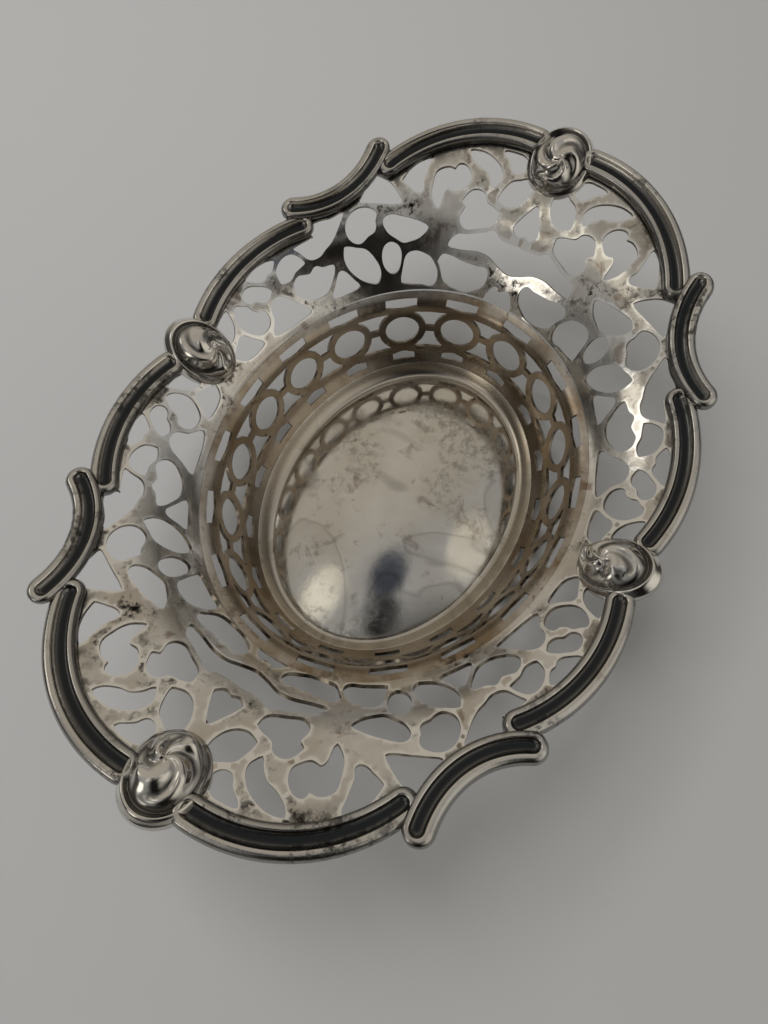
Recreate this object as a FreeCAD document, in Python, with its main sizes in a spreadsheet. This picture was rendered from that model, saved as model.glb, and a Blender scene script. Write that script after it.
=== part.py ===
import FreeCAD, Part
import math
import os
from FreeCAD import Vector

# Driving sizes of the pierced silver basket, in millimetres, degrees and plain counts.
# X runs along the long axis, Y along the short axis, Z up, with the foot ring at zero.
DRIVING_SIZES = (
    # Plan of the border
    ("boss_reach", 80.0),
    ("boss_spread", 56.1),
    # Bowl: the crease where the wall meets the flange, and the sheet it is raised from
    ("crease_reach", 52.0),
    ("crease_spread", 43.9),
    ("crease_height", 23.0),
    ("sheet_thickness", 0.9),
    # Flange: its rise, the extra lift of the long ends, and its lap over the wall
    ("flange_rise", 10.8),
    ("flange_lift", 13.0),
    ("flange_lap", 1.4),
    # Well in the middle: joint with the gallery, foot ring and low dome
    ("well_joint_height", 3.9),
    ("foot_reach", 41.3),
    ("foot_spread", 31.2),
    ("dome_reach", 39.6),
    ("dome_spread", 29.4),
    ("dome_height", 4.8),
    # Gallery of rings sawn in the wall
    ("ring_count", 18),
    ("ring_height", 13.4),
    ("ring_hole", 9.2),
    ("ring_stroke", 2.0),
    ("wall_lean", 16.0),
    ("slot_width", 7.8),
    ("slot_tip", 7.0),
    ("slot_side", 7.8),
    ("slot_end", 9.7),
    ("low_slot_width", 6.6),
    ("low_slot_end", 9.2),
    ("spandrel_top", 6.0),
    ("spandrel_tip", 0.9),
    ("spandrel_top_width", 8.3),
    ("spandrel_tip_width", 1.8),
    # Channelled bars of the border
    ("bar_width", 5.4),
    ("arc_lift", 1.8),
    ("arc_seat_gap", 0.25),
    ("bracket_lift", 2.4),
    ("bracket_seat_gap", 0.6),
    ("bar_outer_depth", 3.6),
    ("bar_shoulder", 0.8),
    ("groove_width", 2.0),
    ("groove_depth", 1.0),
    ("groove_end", 2.7),
    # Domed bosses at the four ends
    ("long_boss_radius", 7.2),
    ("short_boss_radius", 6.7),
    ("boss_height", 4.2),
    ("boss_skirt", 2.2),
    ("boss_bead", 1.6),
    # Solder gaps between the flange and the pieces on it
    ("edge_gap", 0.2),
    ("boss_seat_gap", 0.3),
    # Cutting tools run this far past what they cut
    ("overrun", 6.0),
)

# Plain counts of points and steps along round stretches.
CREASE_STATIONS = 24
DOME_STATIONS = 48
BOSS_STATIONS = 24
RING_STEPS = 720
BORDER_STATIONS = 240
CREASE_SEARCH_STEPS = 12

# Wall rows from the top down, as shares of the crease height, reach and spread, and then
# how far the outside of the sheet lies out and down, in shares of the sheet thickness.
WALL_ROW_SHARES = (
    (0.961, 0.973, 0.973, 1.90, 0.00),
    (0.920, 0.940, 0.943, 1.30, 0.30),
    (0.304, 0.862, 0.829, 0.95, 0.30),
    (0.170, 0.819, 0.761, 0.80, 0.00),
)

# Share of the sheet thickness by which the well's floor is smaller than its foot.
FOOT_CORNER_SHARE = 0.8

# Flange rows from the crease outwards: share of the border's greatest distance from the
# crease, of the rise and of the lift.
FLANGE_ROW_SHARES = (
    (0.028, 0.037, 0.230),
    (0.167, 0.333, 0.785),
    (0.278, 0.565, 0.908),
    (0.417, 0.776, 0.962),
    (0.650, 0.940, 0.995),
    (1.080, 1.000, 1.000),
)

# Dome rows from its edge up, as shares of its width and height; its crown is level.
DOME_ROW_SHARES = ((1.0, 0.0), (0.80, 0.36), (0.55, 0.70), (0.25, 1.0))

# Centre-lines of the three kinds of bar in the first quadrant, each an arc through three
# points, as shares of the boss reach and the boss spread.
LONG_ARC_SHARES = ((0.775, 0.663), (0.935, 0.449), (1.006, 0.110))
SHORT_ARC_SHARES = ((0.080, 1.016), (0.300, 1.018), (0.490, 0.881))
BRACKET_SHARES = ((0.520, 0.948), (0.618, 0.795), (0.800, 0.738))

# Boss relief, as shares of the boss radius and height: the dome's profile, the recess under
# the hood, how far it lies towards the bowl, and the cabochon in it. The bead's height is a
# share of its own radius.
BOSS_PROFILE_SHARES = ((1.00, 0.00), (0.95, 0.42), (0.66, 0.86), (0.25, 1.00))
BEAD_HEIGHT_SHARE = 2.0
RECESS_SHARE = 0.62
RECESS_SHIFT_SHARE = 0.16
CABOCHON_SHARE = 0.50
CABOCHON_RISE_SHARE = 0.86

# The crease on the plan that the openings are drawn on, as shares of the boss reach and spread.
DRAWN_CREASE_SHARES = (0.650, 0.7825)

# Openings sawn in one quarter of the flange, as shares of the boss reach and boss spread.
QUARTER_OPENING_SHARES = (
    # heart beside the long axis
    ((0.740, 0.250), (0.751, 0.284), (0.784, 0.282), (0.791, 0.303), (0.821, 0.280),
     (0.825, 0.237), (0.803, 0.166), (0.798, 0.143), (0.775, 0.148), (0.754, 0.201)),
    # large C scroll above the heart
    ((0.748, 0.398), (0.766, 0.433), (0.800, 0.455), (0.829, 0.460), (0.850, 0.428),
     (0.854, 0.396), (0.871, 0.387), (0.866, 0.344), (0.838, 0.321), (0.806, 0.357),
     (0.804, 0.392), (0.763, 0.401)),
    # crescent under the long arc
    ((0.922, 0.369), (0.929, 0.321), (0.922, 0.267), (0.904, 0.219), (0.879, 0.200),
     (0.854, 0.214), (0.890, 0.267), (0.896, 0.308), (0.910, 0.351)),
    # pair of leaves beside the long boss
    ((0.956, 0.232), (0.959, 0.148), (0.941, 0.121), (0.921, 0.130), (0.915, 0.160),
     (0.934, 0.184)),
    ((0.834, 0.166), (0.884, 0.143), (0.906, 0.084), (0.896, 0.059), (0.862, 0.062),
     (0.838, 0.089), (0.828, 0.128)),
    # long leaf beside the crease
    ((0.660, 0.285), (0.675, 0.267), (0.691, 0.143), (0.690, 0.071), (0.683, 0.032),
     (0.670, 0.032), (0.657, 0.089), (0.649, 0.160), (0.648, 0.232)),
    # three openings up the long shoulder
    ((0.578, 0.417), (0.619, 0.433), (0.638, 0.414), (0.650, 0.365), (0.655, 0.321),
     (0.648, 0.289), (0.628, 0.291), (0.606, 0.348)),
    ((0.569, 0.469), (0.582, 0.503), (0.600, 0.529), (0.625, 0.535), (0.641, 0.508),
     (0.640, 0.467), (0.622, 0.439), (0.595, 0.439)),
    ((0.500, 0.588), (0.498, 0.642), (0.512, 0.677), (0.535, 0.677), (0.560, 0.613),
     (0.570, 0.567), (0.568, 0.520), (0.552, 0.492), (0.532, 0.506), (0.512, 0.545)),
    # oval and drop inside the bracket
    ((0.554, 0.660), (0.562, 0.695), (0.588, 0.708), (0.621, 0.690), (0.641, 0.647),
     (0.650, 0.619), (0.629, 0.610), (0.610, 0.588), (0.584, 0.611)),
    ((0.638, 0.526), (0.641, 0.563), (0.657, 0.574), (0.671, 0.556), (0.682, 0.504),
     (0.702, 0.385), (0.670, 0.421), (0.650, 0.453), (0.638, 0.481)),
    # leaf beneath the bracket and leaf beneath the long arc
    ((0.656, 0.695), (0.700, 0.695), (0.737, 0.690), (0.734, 0.654), (0.741, 0.611),
     (0.725, 0.570), (0.710, 0.540), (0.700, 0.565), (0.684, 0.624)),
    ((0.766, 0.583), (0.800, 0.576), (0.829, 0.556), (0.854, 0.522), (0.816, 0.517),
     (0.762, 0.494), (0.756, 0.504), (0.760, 0.547)),
    # small leaves beside the short boss
    ((0.074, 0.918), (0.079, 0.947), (0.114, 0.971), (0.146, 0.977), (0.128, 0.934),
     (0.105, 0.913), (0.083, 0.909)),
    ((0.058, 0.859), (0.121, 0.877), (0.138, 0.845), (0.150, 0.811), (0.106, 0.818),
     (0.072, 0.834)),
    # C scroll and its two leaves under the short arc
    ((0.179, 0.952), (0.155, 0.934), (0.142, 0.898), (0.148, 0.863), (0.168, 0.836),
     (0.195, 0.827), (0.218, 0.836), (0.222, 0.859), (0.200, 0.895), (0.200, 0.920),
     (0.188, 0.938)),
    ((0.212, 0.938), (0.222, 0.955), (0.242, 0.957), (0.261, 0.943), (0.285, 0.877),
     (0.265, 0.872), (0.249, 0.884), (0.236, 0.909)),
    ((0.268, 0.979), (0.309, 0.971), (0.340, 0.952), (0.361, 0.929), (0.316, 0.927),
     (0.285, 0.934)),
    # openings beside the short crease
    ((0.199, 0.790), (0.232, 0.811), (0.252, 0.841), (0.278, 0.841), (0.298, 0.816),
     (0.325, 0.718), (0.288, 0.738), (0.238, 0.765)),
    ((0.329, 0.856), (0.342, 0.884), (0.369, 0.895), (0.394, 0.888), (0.420, 0.834),
     (0.415, 0.813), (0.381, 0.831), (0.356, 0.829)),
    ((0.338, 0.788), (0.350, 0.809), (0.370, 0.807), (0.400, 0.766), (0.436, 0.734),
     (0.462, 0.702), (0.450, 0.688), (0.418, 0.686), (0.380, 0.706), (0.352, 0.742)),
    # gap inside the bracket end
    ((0.430, 0.873), (0.432, 0.809), (0.460, 0.774), (0.512, 0.756), (0.594, 0.763),
     (0.562, 0.793), (0.525, 0.847), (0.492, 0.818)),
    # corner opening beside the crease
    ((0.402, 0.649), (0.479, 0.672), (0.489, 0.642), (0.488, 0.560)),
)

# Openings that lie across the long axis: their upper halves, mirrored in the axis.
AXIS_OPENING_SHARES = (
    ((0.782, 0.0), (0.778, 0.029), (0.788, 0.050), (0.810, 0.034), (0.850, 0.0)),
    ((0.710, 0.0), (0.716, 0.045), (0.728, 0.089), (0.728, 0.134), (0.716, 0.187),
     (0.681, 0.294), (0.706, 0.258), (0.738, 0.187), (0.760, 0.139), (0.752, 0.107),
     (0.749, 0.0)),
    ((0.660, 0.046), (0.700, 0.0)),
)


def fill_sheet(document):
    """Write the driving sizes into the spreadsheet, one alias to a row."""
    sheet = document.addObject("Spreadsheet::Sheet", "sizes")
    for row, (alias, value) in enumerate(DRIVING_SIZES, start=1):
        sheet.set("A%d" % row, alias)
        sheet.set("B%d" % row, str(value))
        sheet.setAlias("B%d" % row, alias)
    document.recompute()
    return sheet


def bind(feature, expressions):
    """Tie properties of a feature to cells of the sheet."""
    for target, expression in expressions.items():
        feature.setExpression(target, expression)
    return feature


def ellipse_section(document, name, reach, spread, height):
    """Ellipse on its half axes along X and Y, turned a quarter where the second is longer."""
    section = document.addObject("Part::Ellipse", name)
    section.Placement = FreeCAD.Placement(Vector(), FreeCAD.Rotation(Vector(0, 0, 1), 0))
    axes = "%s; %s" % (reach, spread)
    return bind(section, {
        "MajorRadius": "max(%s)" % axes,
        "MinorRadius": "min(%s)" % axes,
        "Placement.Base.z": height,
        "Placement.Rotation.Angle": "(%s) >= (%s) ? 0 : 90" % (reach, spread),
    })


def loft_feature(document, name, sections):
    loft = document.addObject("Part::Loft", name)
    loft.Sections = sections
    loft.Solid = True
    loft.Ruled = True
    return loft


def boolean_feature(document, kind, name, base, tool):
    feature = document.addObject(kind, name)
    feature.Base = base
    feature.Tool = tool
    return feature


def shape_feature(document, name, shape):
    feature = document.addObject("Part::Feature", name)
    feature.Shape = shape
    feature.Placement = shape.Placement
    return feature


def banded_solid(rows):
    """Solid between rows of points, with flat facets in its bands and flat ends."""
    faces = [Part.Face(Part.makePolygon(row + row[:1])) for row in (rows[0], rows[-1])]
    for low, high in zip(rows, rows[1:]):
        for station in range(len(low)):
            corners = (low[station - 1], low[station], high[station], high[station - 1])
            faces.append(Part.Face(Part.makePolygon(corners + corners[:1])))
    return Part.Solid(Part.Shell(faces))


def on_ellipse(reach, spread, angle):
    return Vector(reach * math.cos(angle), spread * math.sin(angle), 0)


def ellipse_normal(reach, spread, angle):
    normal = Vector(spread * math.cos(angle), reach * math.sin(angle), 0)
    return normal.normalize()


# Flange

def flange_rows(size):
    """Distance outside the crease, height and end lift of each row of the flange."""
    width = border_distance(size)
    rows = [(-size.flange_lap, size.crease_height, 0)]
    for width_share, rise_share, lift_share in FLANGE_ROW_SHARES:
        rows.append((
            width * width_share,
            size.crease_height + size.flange_rise * rise_share,
            size.flange_lift * lift_share,
        ))
    return rows


def nearest_on_crease(size, point):
    """Angle on the crease nearest a plan point, and the point's distance outside it."""
    reach = size.crease_reach
    spread = size.crease_spread
    angle = math.atan2(point.y * reach, point.x * spread)
    for _ in range(CREASE_SEARCH_STEPS):
        across = point - on_ellipse(reach, spread, angle)
        tangent = Vector(-reach * math.sin(angle), spread * math.cos(angle), 0)
        bend = on_ellipse(reach, spread, angle) * -1
        change = across.dot(bend) - tangent.dot(tangent)
        angle -= across.dot(tangent) / change
    across = point - on_ellipse(reach, spread, angle)
    return angle, across.dot(ellipse_normal(reach, spread, angle))


def border_distance(size):
    """Greatest distance of the border's outline from the crease."""
    points = border_outline(size).discretize(BORDER_STATIONS)
    return max(nearest_on_crease(size, point)[1] for point in points)


def flange_row(size, width, height, lift):
    """Closed curve at one distance outside the crease, raised towards the long ends."""
    stations = CREASE_STATIONS
    points = []
    for station in range(stations):
        angle = 2 * math.pi * station / stations
        normal = ellipse_normal(size.crease_reach, size.crease_spread, angle)
        point = on_ellipse(size.crease_reach, size.crease_spread, angle) + normal * width
        point.z = height + lift * (point.x / size.boss_reach) ** 2
        points.append(point)
    shares = [station / stations for station in range(stations + 1)]
    curve = Part.BSplineCurve()
    curve.interpolate(Points=points, Parameters=shares, PeriodicFlag=True)
    return Part.Wire(curve.toShape())


def flange_skin(size):
    """Upper surface of the flange in bands, from its lap over the wall past the border."""
    rows = [flange_row(size, width, height, lift) for width, height, lift in flange_rows(size)]
    return Part.makeLoft(rows, False, True)


def thickened(skin, depth):
    """One solid from the bands of a skin, extruded by an upright depth."""
    bands = [face.extrude(Vector(0, 0, depth)) for face in skin.Faces]
    return bands[0].fuse(bands[1:]).Solids[0]


def flange_blank(size, skin):
    """Flange sheet cut to the border's outline, before it is pierced."""
    return thickened(skin, -size.sheet_thickness).common(prism(size, border_outline(size)))


def pierced_flange(size, blank):
    """The flange pierced in one quarter, then mirrored and joined to a full ring."""
    reach = size.boss_reach + size.overrun
    height = size.crease_height + size.flange_rise + size.flange_lift + size.overrun
    quarter = blank.common(Part.makeBox(reach, reach, height))
    quarter = quarter.cut(opening_prisms(size)).Solids[0]
    copies = mirrored_copies(quarter)
    return copies[0].fuse(copies[1:]).Solids[0]


def mirrored_copies(shape):
    """The shape with its mirror images in the basket's two middle planes."""
    across = shape.mirror(Vector(), Vector(1, 0, 0))
    opposite = across.mirror(Vector(), Vector(0, 1, 0))
    beside = shape.mirror(Vector(), Vector(0, 1, 0))
    return [shape, across, opposite, beside]


def plan_point(size, share):
    return Vector(size.boss_reach * share[0], size.boss_spread * share[1], 0)


def opening_point(size, share):
    """Point of an opening's outline, kept at its place between the crease and the border."""
    length = math.hypot(*share)
    along = share[0] / length
    across = share[1] / length
    drawn_reach, drawn_spread = DRAWN_CREASE_SHARES
    drawn_crease = 1 / math.hypot(along / drawn_reach, across / drawn_spread)
    crease = 1 / math.hypot(
        along * size.boss_reach / size.crease_reach,
        across * size.boss_spread / size.crease_spread)
    room = max(0.0, 1 - length) / (1 - drawn_crease)
    scale = (length + (crease - drawn_crease) * room) / length
    return plan_point(size, (share[0] * scale, share[1] * scale))


def mirrored_points(points, x_sign, y_sign):
    return [Vector(point.x * x_sign, point.y * y_sign, point.z) for point in points]


def prism(size, wire):
    """Upright prism from below the foot to above the border."""
    height = size.crease_height + size.flange_rise + size.flange_lift + size.overrun
    face = Part.Face(wire)
    return face.extrude(Vector(0, 0, height))


def border_outline(size):
    """Plan outline of the sheet, along the centre-lines of the bars."""
    quarters = []
    for shares in (LONG_ARC_SHARES, BRACKET_SHARES, SHORT_ARC_SHARES):
        quarters.append([plan_point(size, share) for share in shares])
    long_arc, bracket, short_arc = quarters
    first_quarter = [long_arc[::-1], bracket[::-1], short_arc[::-1]]
    arcs = []
    for x_sign, y_sign in ((1, 1), (-1, 1), (-1, -1), (1, -1)):
        quarter = [mirrored_points(points, x_sign, y_sign) for points in first_quarter]
        if x_sign * y_sign < 0:
            quarter = [points[::-1] for points in quarter[::-1]]
        arcs.extend(quarter)
    edges = []
    for index, points in enumerate(arcs):
        following = arcs[(index + 1) % len(arcs)]
        edges.append(Part.Arc(*points).toShape())
        edges.append(Part.LineSegment(points[-1], following[0]).toShape())
    return Part.Wire(edges)


def opening_prisms(size):
    """Prisms of the openings in the first quarter and across the long axis."""
    outlines = [
        [opening_point(size, share) for share in shares] for shares in QUARTER_OPENING_SHARES]
    for shares in AXIS_OPENING_SHARES:
        upper = [opening_point(size, share) for share in shares]
        lower = [Vector(point.x, -point.y, 0) for point in reversed(upper) if point.y > 0]
        outlines.append(upper + lower)
    return [prism(size, Part.makePolygon(points + points[:1])) for points in outlines]


# Gallery

def wall_lofts(document, label):
    """Solids inside and outside the wall, each lofted through ellipses."""
    inner = []
    outer = []
    for index, row in enumerate(WALL_ROW_SHARES):
        height_share, reach_share, spread_share, out_share, down_share = row
        height = "sizes.crease_height * %g" % height_share
        reach = "sizes.crease_reach * %g" % reach_share
        spread = "sizes.crease_spread * %g" % spread_share
        out = " + sizes.sheet_thickness * %g" % out_share
        down = " - sizes.sheet_thickness * %g" % down_share
        inner.append(ellipse_section(
            document, "%s_inner_row_%d" % (label, index), reach, spread, height))
        outer.append(ellipse_section(
            document, "%s_outer_row_%d" % (label, index),
            reach + out, spread + out, height + down))
    inside = loft_feature(document, "%s_inside" % label, inner)
    outside = loft_feature(document, "%s_outside" % label, outer)
    return inside, outside


def ring_stations(size):
    """Angles on the ring ellipse at equal steps of arc, a link on each long-axis end."""
    reach, spread = ring_ellipse(size)
    steps = RING_STEPS
    lengths = [0.0]
    for step in range(steps):
        start = on_ellipse(reach, spread, 2 * math.pi * step / steps)
        finish = on_ellipse(reach, spread, 2 * math.pi * (step + 1) / steps)
        lengths.append(lengths[-1] + start.distanceToPoint(finish))
    count = int(round(size.ring_count))
    angles = []
    step = 0
    for ring in range(count):
        target = lengths[-1] * (ring + 0.5) / count
        while lengths[step + 1] < target:
            step += 1
        part = (target - lengths[step]) / (lengths[step + 1] - lengths[step])
        angles.append(2 * math.pi * (step + part) / steps)
    return angles, lengths[-1] / count


def ring_ellipse(size):
    """Half axes of the wall at the ring centres."""
    rows = [row[:3] for row in WALL_ROW_SHARES[::-1]]
    level = size.ring_height / size.crease_height
    for low, high in zip(rows, rows[1:]):
        if high[0] >= level:
            break
    part = (level - low[0]) / (high[0] - low[0])
    reach_share = low[1] + (high[1] - low[1]) * part
    spread_share = low[2] + (high[2] - low[2]) * part
    return size.crease_reach * reach_share, size.crease_spread * spread_share


def gallery_cutters(size):
    """Prisms along the wall's normals: ring holes, slots and spandrels."""
    reach, spread = ring_ellipse(size)
    angles, pitch = ring_stations(size)
    lean = math.radians(size.wall_lean)
    half = pitch / 2
    top_slot = slot_outline(size.slot_width, size.slot_tip, size.slot_side, size.slot_end, 1)
    low_slot = slot_outline(
        size.low_slot_width, size.slot_tip, size.slot_side, size.low_slot_end, -1)
    cutters = []
    for angle in angles:
        frame = wall_frame(size, reach, spread, angle, lean)
        origin, along, up, out = frame
        hole = Part.makeCylinder(
            size.ring_hole / 2, 2 * size.overrun, origin - out * size.overrun, out)
        cutters.append(hole)
        for outline in (top_slot, low_slot):
            cutters.append(wall_prism(size, frame, outline))
        for direction in (1, -1):
            outline = spandrel_outline(size, half, direction)
            cutters.append(wall_prism(size, frame, outline))
    return cutters


def wall_frame(size, reach, spread, angle, lean):
    """Point on the wall with its directions along, up and out of the wall."""
    origin = on_ellipse(reach, spread, angle) + Vector(0, 0, size.ring_height)
    normal = ellipse_normal(reach, spread, angle)
    vertical = Vector(0, 0, 1)
    along = vertical.cross(normal)
    up = vertical * math.cos(lean) + normal * math.sin(lean)
    out = normal * math.cos(lean) - vertical * math.sin(lean)
    return origin, along, up, out


def slot_outline(width, tip, side, end, direction):
    half = width / 2
    corners = ((-half, end), (half, end), (half, side), (0, tip), (-half, side))
    return [(along, up * direction) for along, up in corners]


def spandrel_outline(size, half_pitch, direction):
    """Opening beside the link on one side of a ring."""
    wide = size.spandrel_top_width / 2
    narrow = size.spandrel_tip_width / 2
    middle_up = (size.spandrel_top + size.spandrel_tip) / 2
    ring_outside = size.ring_hole / 2 + size.ring_stroke
    middle = half_pitch - math.sqrt(ring_outside ** 2 - middle_up ** 2)
    corners = (
        (-wide, size.spandrel_top),
        (wide, size.spandrel_top),
        (middle, middle_up),
        (narrow, size.spandrel_tip),
        (-narrow, size.spandrel_tip),
        (-middle, middle_up),
    )
    return [(half_pitch + along, up * direction) for along, up in corners]


def wall_prism(size, frame, outline):
    origin, along, up, out = frame
    start = origin - out * size.overrun
    points = [start + along * across + up * height for across, height in outline]
    face = Part.Face(Part.makePolygon(points + points[:1]))
    return face.extrude(out * (2 * size.overrun))


# Border bars

def surface_height(size, point):
    """Height of the flange's upper surface above a plan point."""
    angle, distance = nearest_on_crease(size, point)
    foot = on_ellipse(size.crease_reach, size.crease_spread, angle)
    normal = ellipse_normal(size.crease_reach, size.crease_spread, angle)
    rows = flange_rows(size)
    for near, far in zip(rows, rows[1:]):
        if far[0] >= distance:
            break
    near_height, far_height = [
        height + lift * ((foot.x + normal.x * width) / size.boss_reach) ** 2
        for width, height, lift in (near, far)]
    part = (distance - near[0]) / (far[0] - near[0])
    return near_height + (far_height - near_height) * part


def raised_arc(size, shares, lift):
    """Centre, axis, start point and angle of a bar's circle, laid on the flange."""
    points = []
    for share in shares:
        point = plan_point(size, share)
        point.z = surface_height(size, point) + lift
        points.append(point)
    start, middle, finish = points
    circle = Part.Arc(start, middle, finish).toShape().Curve
    centre = circle.Center
    axis = (middle - start).cross(finish - middle).normalize()
    angle = math.degrees((start - centre).getAngle(finish - centre))
    return centre, axis, start, angle


def turned_section(circle, outline, trim, side):
    """Section, given outwards and up, turned round the bar's circle between its trims."""
    centre, axis, start, angle = circle
    radial = (start - centre).normalize()
    up = axis if axis.z > 0 else axis * -1
    points = [start + radial * (across * side) + up * height for across, height in outline]
    face = Part.Face(Part.makePolygon(points + points[:1]))
    trim_angle = math.degrees(trim / (start - centre).Length)
    face = face.rotated(centre, axis, trim_angle)
    return face.revolve(centre, axis, angle - 2 * trim_angle)


def bar_solid(size, shares, lift, seat_gap, side):
    """Channelled bar that sits on the flange and laps its edge; side is 1 where it bulges out."""
    circle = raised_arc(size, shares, lift)
    half = size.bar_width / 2
    crest = (half + size.groove_width / 2) / 2
    seat = seat_gap - lift
    body_outline = (
        (-half, seat),
        (-half, -size.bar_shoulder),
        (-crest, 0),
        (crest, 0),
        (half, -size.bar_shoulder),
        (half, -size.bar_outer_depth),
        (size.edge_gap, -size.bar_outer_depth),
        (size.edge_gap, seat),
    )
    groove_half = size.groove_width / 2
    groove_outline = (
        (-groove_half, size.groove_depth),
        (-groove_half, 0),
        (0, -size.groove_depth),
        (groove_half, 0),
        (groove_half, size.groove_depth),
    )
    body = turned_section(circle, body_outline, 0, side)
    return body.cut(turned_section(circle, groove_outline, size.groove_end, side))


# Bosses

def turned_solid(profile, base):
    """Solid of flat facets turned round an upright axis, from its foot to its level top."""
    rows = []
    for radius, height in profile:
        rows.append([
            base + on_ellipse(radius, radius, 2 * math.pi * station / BOSS_STATIONS)
            + Vector(0, 0, height)
            for station in range(BOSS_STATIONS)])
    return banded_solid(rows)


def turned_dome(radius, height, base):
    profile = [
        (radius * width_share, height * height_share)
        for width_share, height_share in BOSS_PROFILE_SHARES]
    return turned_solid(profile, base)


def boss_solid(size, centre, radius, outward, sheet_edge):
    """Domed boss on the flange's slope: a hood round the outside, a cabochon and a bead."""
    base = Vector(0, 0, size.boss_seat_gap)
    inwards = outward * (-radius * RECESS_SHIFT_SHARE)
    recess_radius = radius * RECESS_SHARE
    recess_floor = size.boss_height * (1 - RECESS_SHARE)
    recess = turned_solid(
        ((recess_radius, recess_floor), (radius, recess_floor + size.boss_height)), inwards)
    dome = turned_dome(radius, size.boss_height, base).cut(recess)
    cabochon = turned_dome(
        radius * CABOCHON_SHARE, size.boss_height * CABOCHON_RISE_SHARE, base + inwards)
    bead = turned_dome(
        size.boss_bead, size.boss_bead * BEAD_HEIGHT_SHARE,
        base - outward * (radius - size.boss_bead))
    boss = dome.fuse([cabochon, bead])

    skirt = turned_solid(
        ((radius, -size.boss_skirt), (radius, size.boss_seat_gap)), Vector())
    beyond_edge = Part.makeBox(2 * radius, 2 * radius, 2 * radius)
    beyond_edge.translate(Vector(sheet_edge + size.edge_gap, -radius, -radius))
    beyond_edge.rotate(Vector(), Vector(0, 0, 1), math.degrees(math.atan2(outward.y, outward.x)))
    boss = boss.fuse(skirt.common(beyond_edge)).Solids[0]

    height = surface_height(size, centre)
    inner_height = surface_height(size, centre - outward * (radius / 2))
    slope = math.degrees(math.atan2(height - inner_height, radius / 2))
    boss.rotate(Vector(), outward.cross(Vector(0, 0, 1)), slope)
    boss.translate(Vector(centre.x, centre.y, height))
    return boss




def native_well(document, size):
    """Well: lofted band down to the foot ring, with a low dome raised inside it."""
    joint_row = WALL_ROW_SHARES[-1]
    reach = "sizes.crease_reach * %g" % joint_row[1]
    spread = "sizes.crease_spread * %g" % joint_row[2]
    out = " + sizes.sheet_thickness * %g" % joint_row[3]
    joint = "sizes.well_joint_height"
    thickness = "sizes.sheet_thickness"
    corner = " - sizes.sheet_thickness * %g" % FOOT_CORNER_SHARE
    blank = loft_feature(document, "well_blank", [
        ellipse_section(document, "well_outer_top", reach + out, spread + out, joint),
        ellipse_section(document, "well_outer_foot", "sizes.foot_reach", "sizes.foot_spread", "0"),
    ])
    pocket = loft_feature(document, "well_pocket", [
        ellipse_section(document, "well_inner_top", reach, spread, joint),
        ellipse_section(
            document, "well_inner_foot", "sizes.foot_reach" + corner,
            "sizes.foot_spread" + corner, thickness),
    ])
    plate = boolean_feature(document, "Part::Cut", "well_plate", blank, pocket)
    dome = shape_feature(document, "well_dome", dome_solid(size, size.sheet_thickness))
    underside = shape_feature(document, "well_dome_underside", dome_solid(size, 0))
    domed = boolean_feature(document, "Part::Fuse", "well_domed", plate, dome)
    return boolean_feature(document, "Part::Cut", "well", domed, underside)


def dome_solid(size, level):
    """Low dome on an oval foot, in bands of flat facets with a level crown."""
    rows = []
    for width_share, height_share in DOME_ROW_SHARES:
        points = []
        for station in range(DOME_STATIONS):
            point = on_ellipse(
                size.dome_reach * width_share, size.dome_spread * width_share,
                2 * math.pi * station / DOME_STATIONS)
            point.z = level + size.dome_height * height_share
            points.append(point)
        rows.append(points)
    return banded_solid(rows)


def native_gallery(document, size):
    """Pierced wall between the well and the flange."""
    inside, outside = wall_lofts(document, "wall")
    wall = boolean_feature(document, "Part::Cut", "wall", outside, inside)
    cutters = shape_feature(document, "gallery_cutters", Part.makeCompound(gallery_cutters(size)))
    return boolean_feature(document, "Part::Cut", "pierced_gallery", wall, cutters)


def fitted(piece, neighbours):
    """The piece cut back to the faces of its neighbours."""
    solids = piece.cut(neighbours).Solids
    return max(solids, key=lambda solid: solid.Volume)


def build(document):
    size = fill_sheet(document)
    parts = []

    blank = flange_blank(size, flange_skin(size))
    parts.append(shape_feature(document, "pierced_flange", pierced_flange(size, blank)))
    parts.append(native_gallery(document, size))
    parts.append(native_well(document, size))

    bosses = []
    for name, centre, radius, outward, sheet_edge in (
        ("long_boss", Vector(size.boss_reach, 0, 0), size.long_boss_radius, Vector(1, 0, 0),
         size.boss_reach * (LONG_ARC_SHARES[-1][0] - 1)),
        ("short_boss", Vector(0, size.boss_spread, 0), size.short_boss_radius, Vector(0, 1, 0),
         size.boss_spread * (SHORT_ARC_SHARES[0][1] - 1)),
    ):
        solid = boss_solid(size, centre, radius, outward, sheet_edge)
        bosses.append(solid)
        opposite = solid.mirror(Vector(), outward)
        parts.append(shape_feature(document, name + "_1", solid))
        parts.append(shape_feature(document, name + "_2", opposite))

    bracket = bar_solid(size, BRACKET_SHARES, size.bracket_lift, size.bracket_seat_gap, -1)
    long_arc = bar_solid(size, LONG_ARC_SHARES, size.arc_lift, size.arc_seat_gap, 1)
    short_arc = bar_solid(size, SHORT_ARC_SHARES, size.arc_lift, size.arc_seat_gap, 1)
    long_arc = fitted(long_arc, [bracket, bosses[0]])
    short_arc = fitted(short_arc, [bracket, bosses[1], blank])
    for name, solid in (("bracket", bracket), ("long_arc", long_arc), ("short_arc", short_arc)):
        for index, copy in enumerate(mirrored_copies(solid), start=1):
            parts.append(shape_feature(document, "%s_%d" % (name, index), copy))
    return parts


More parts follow.
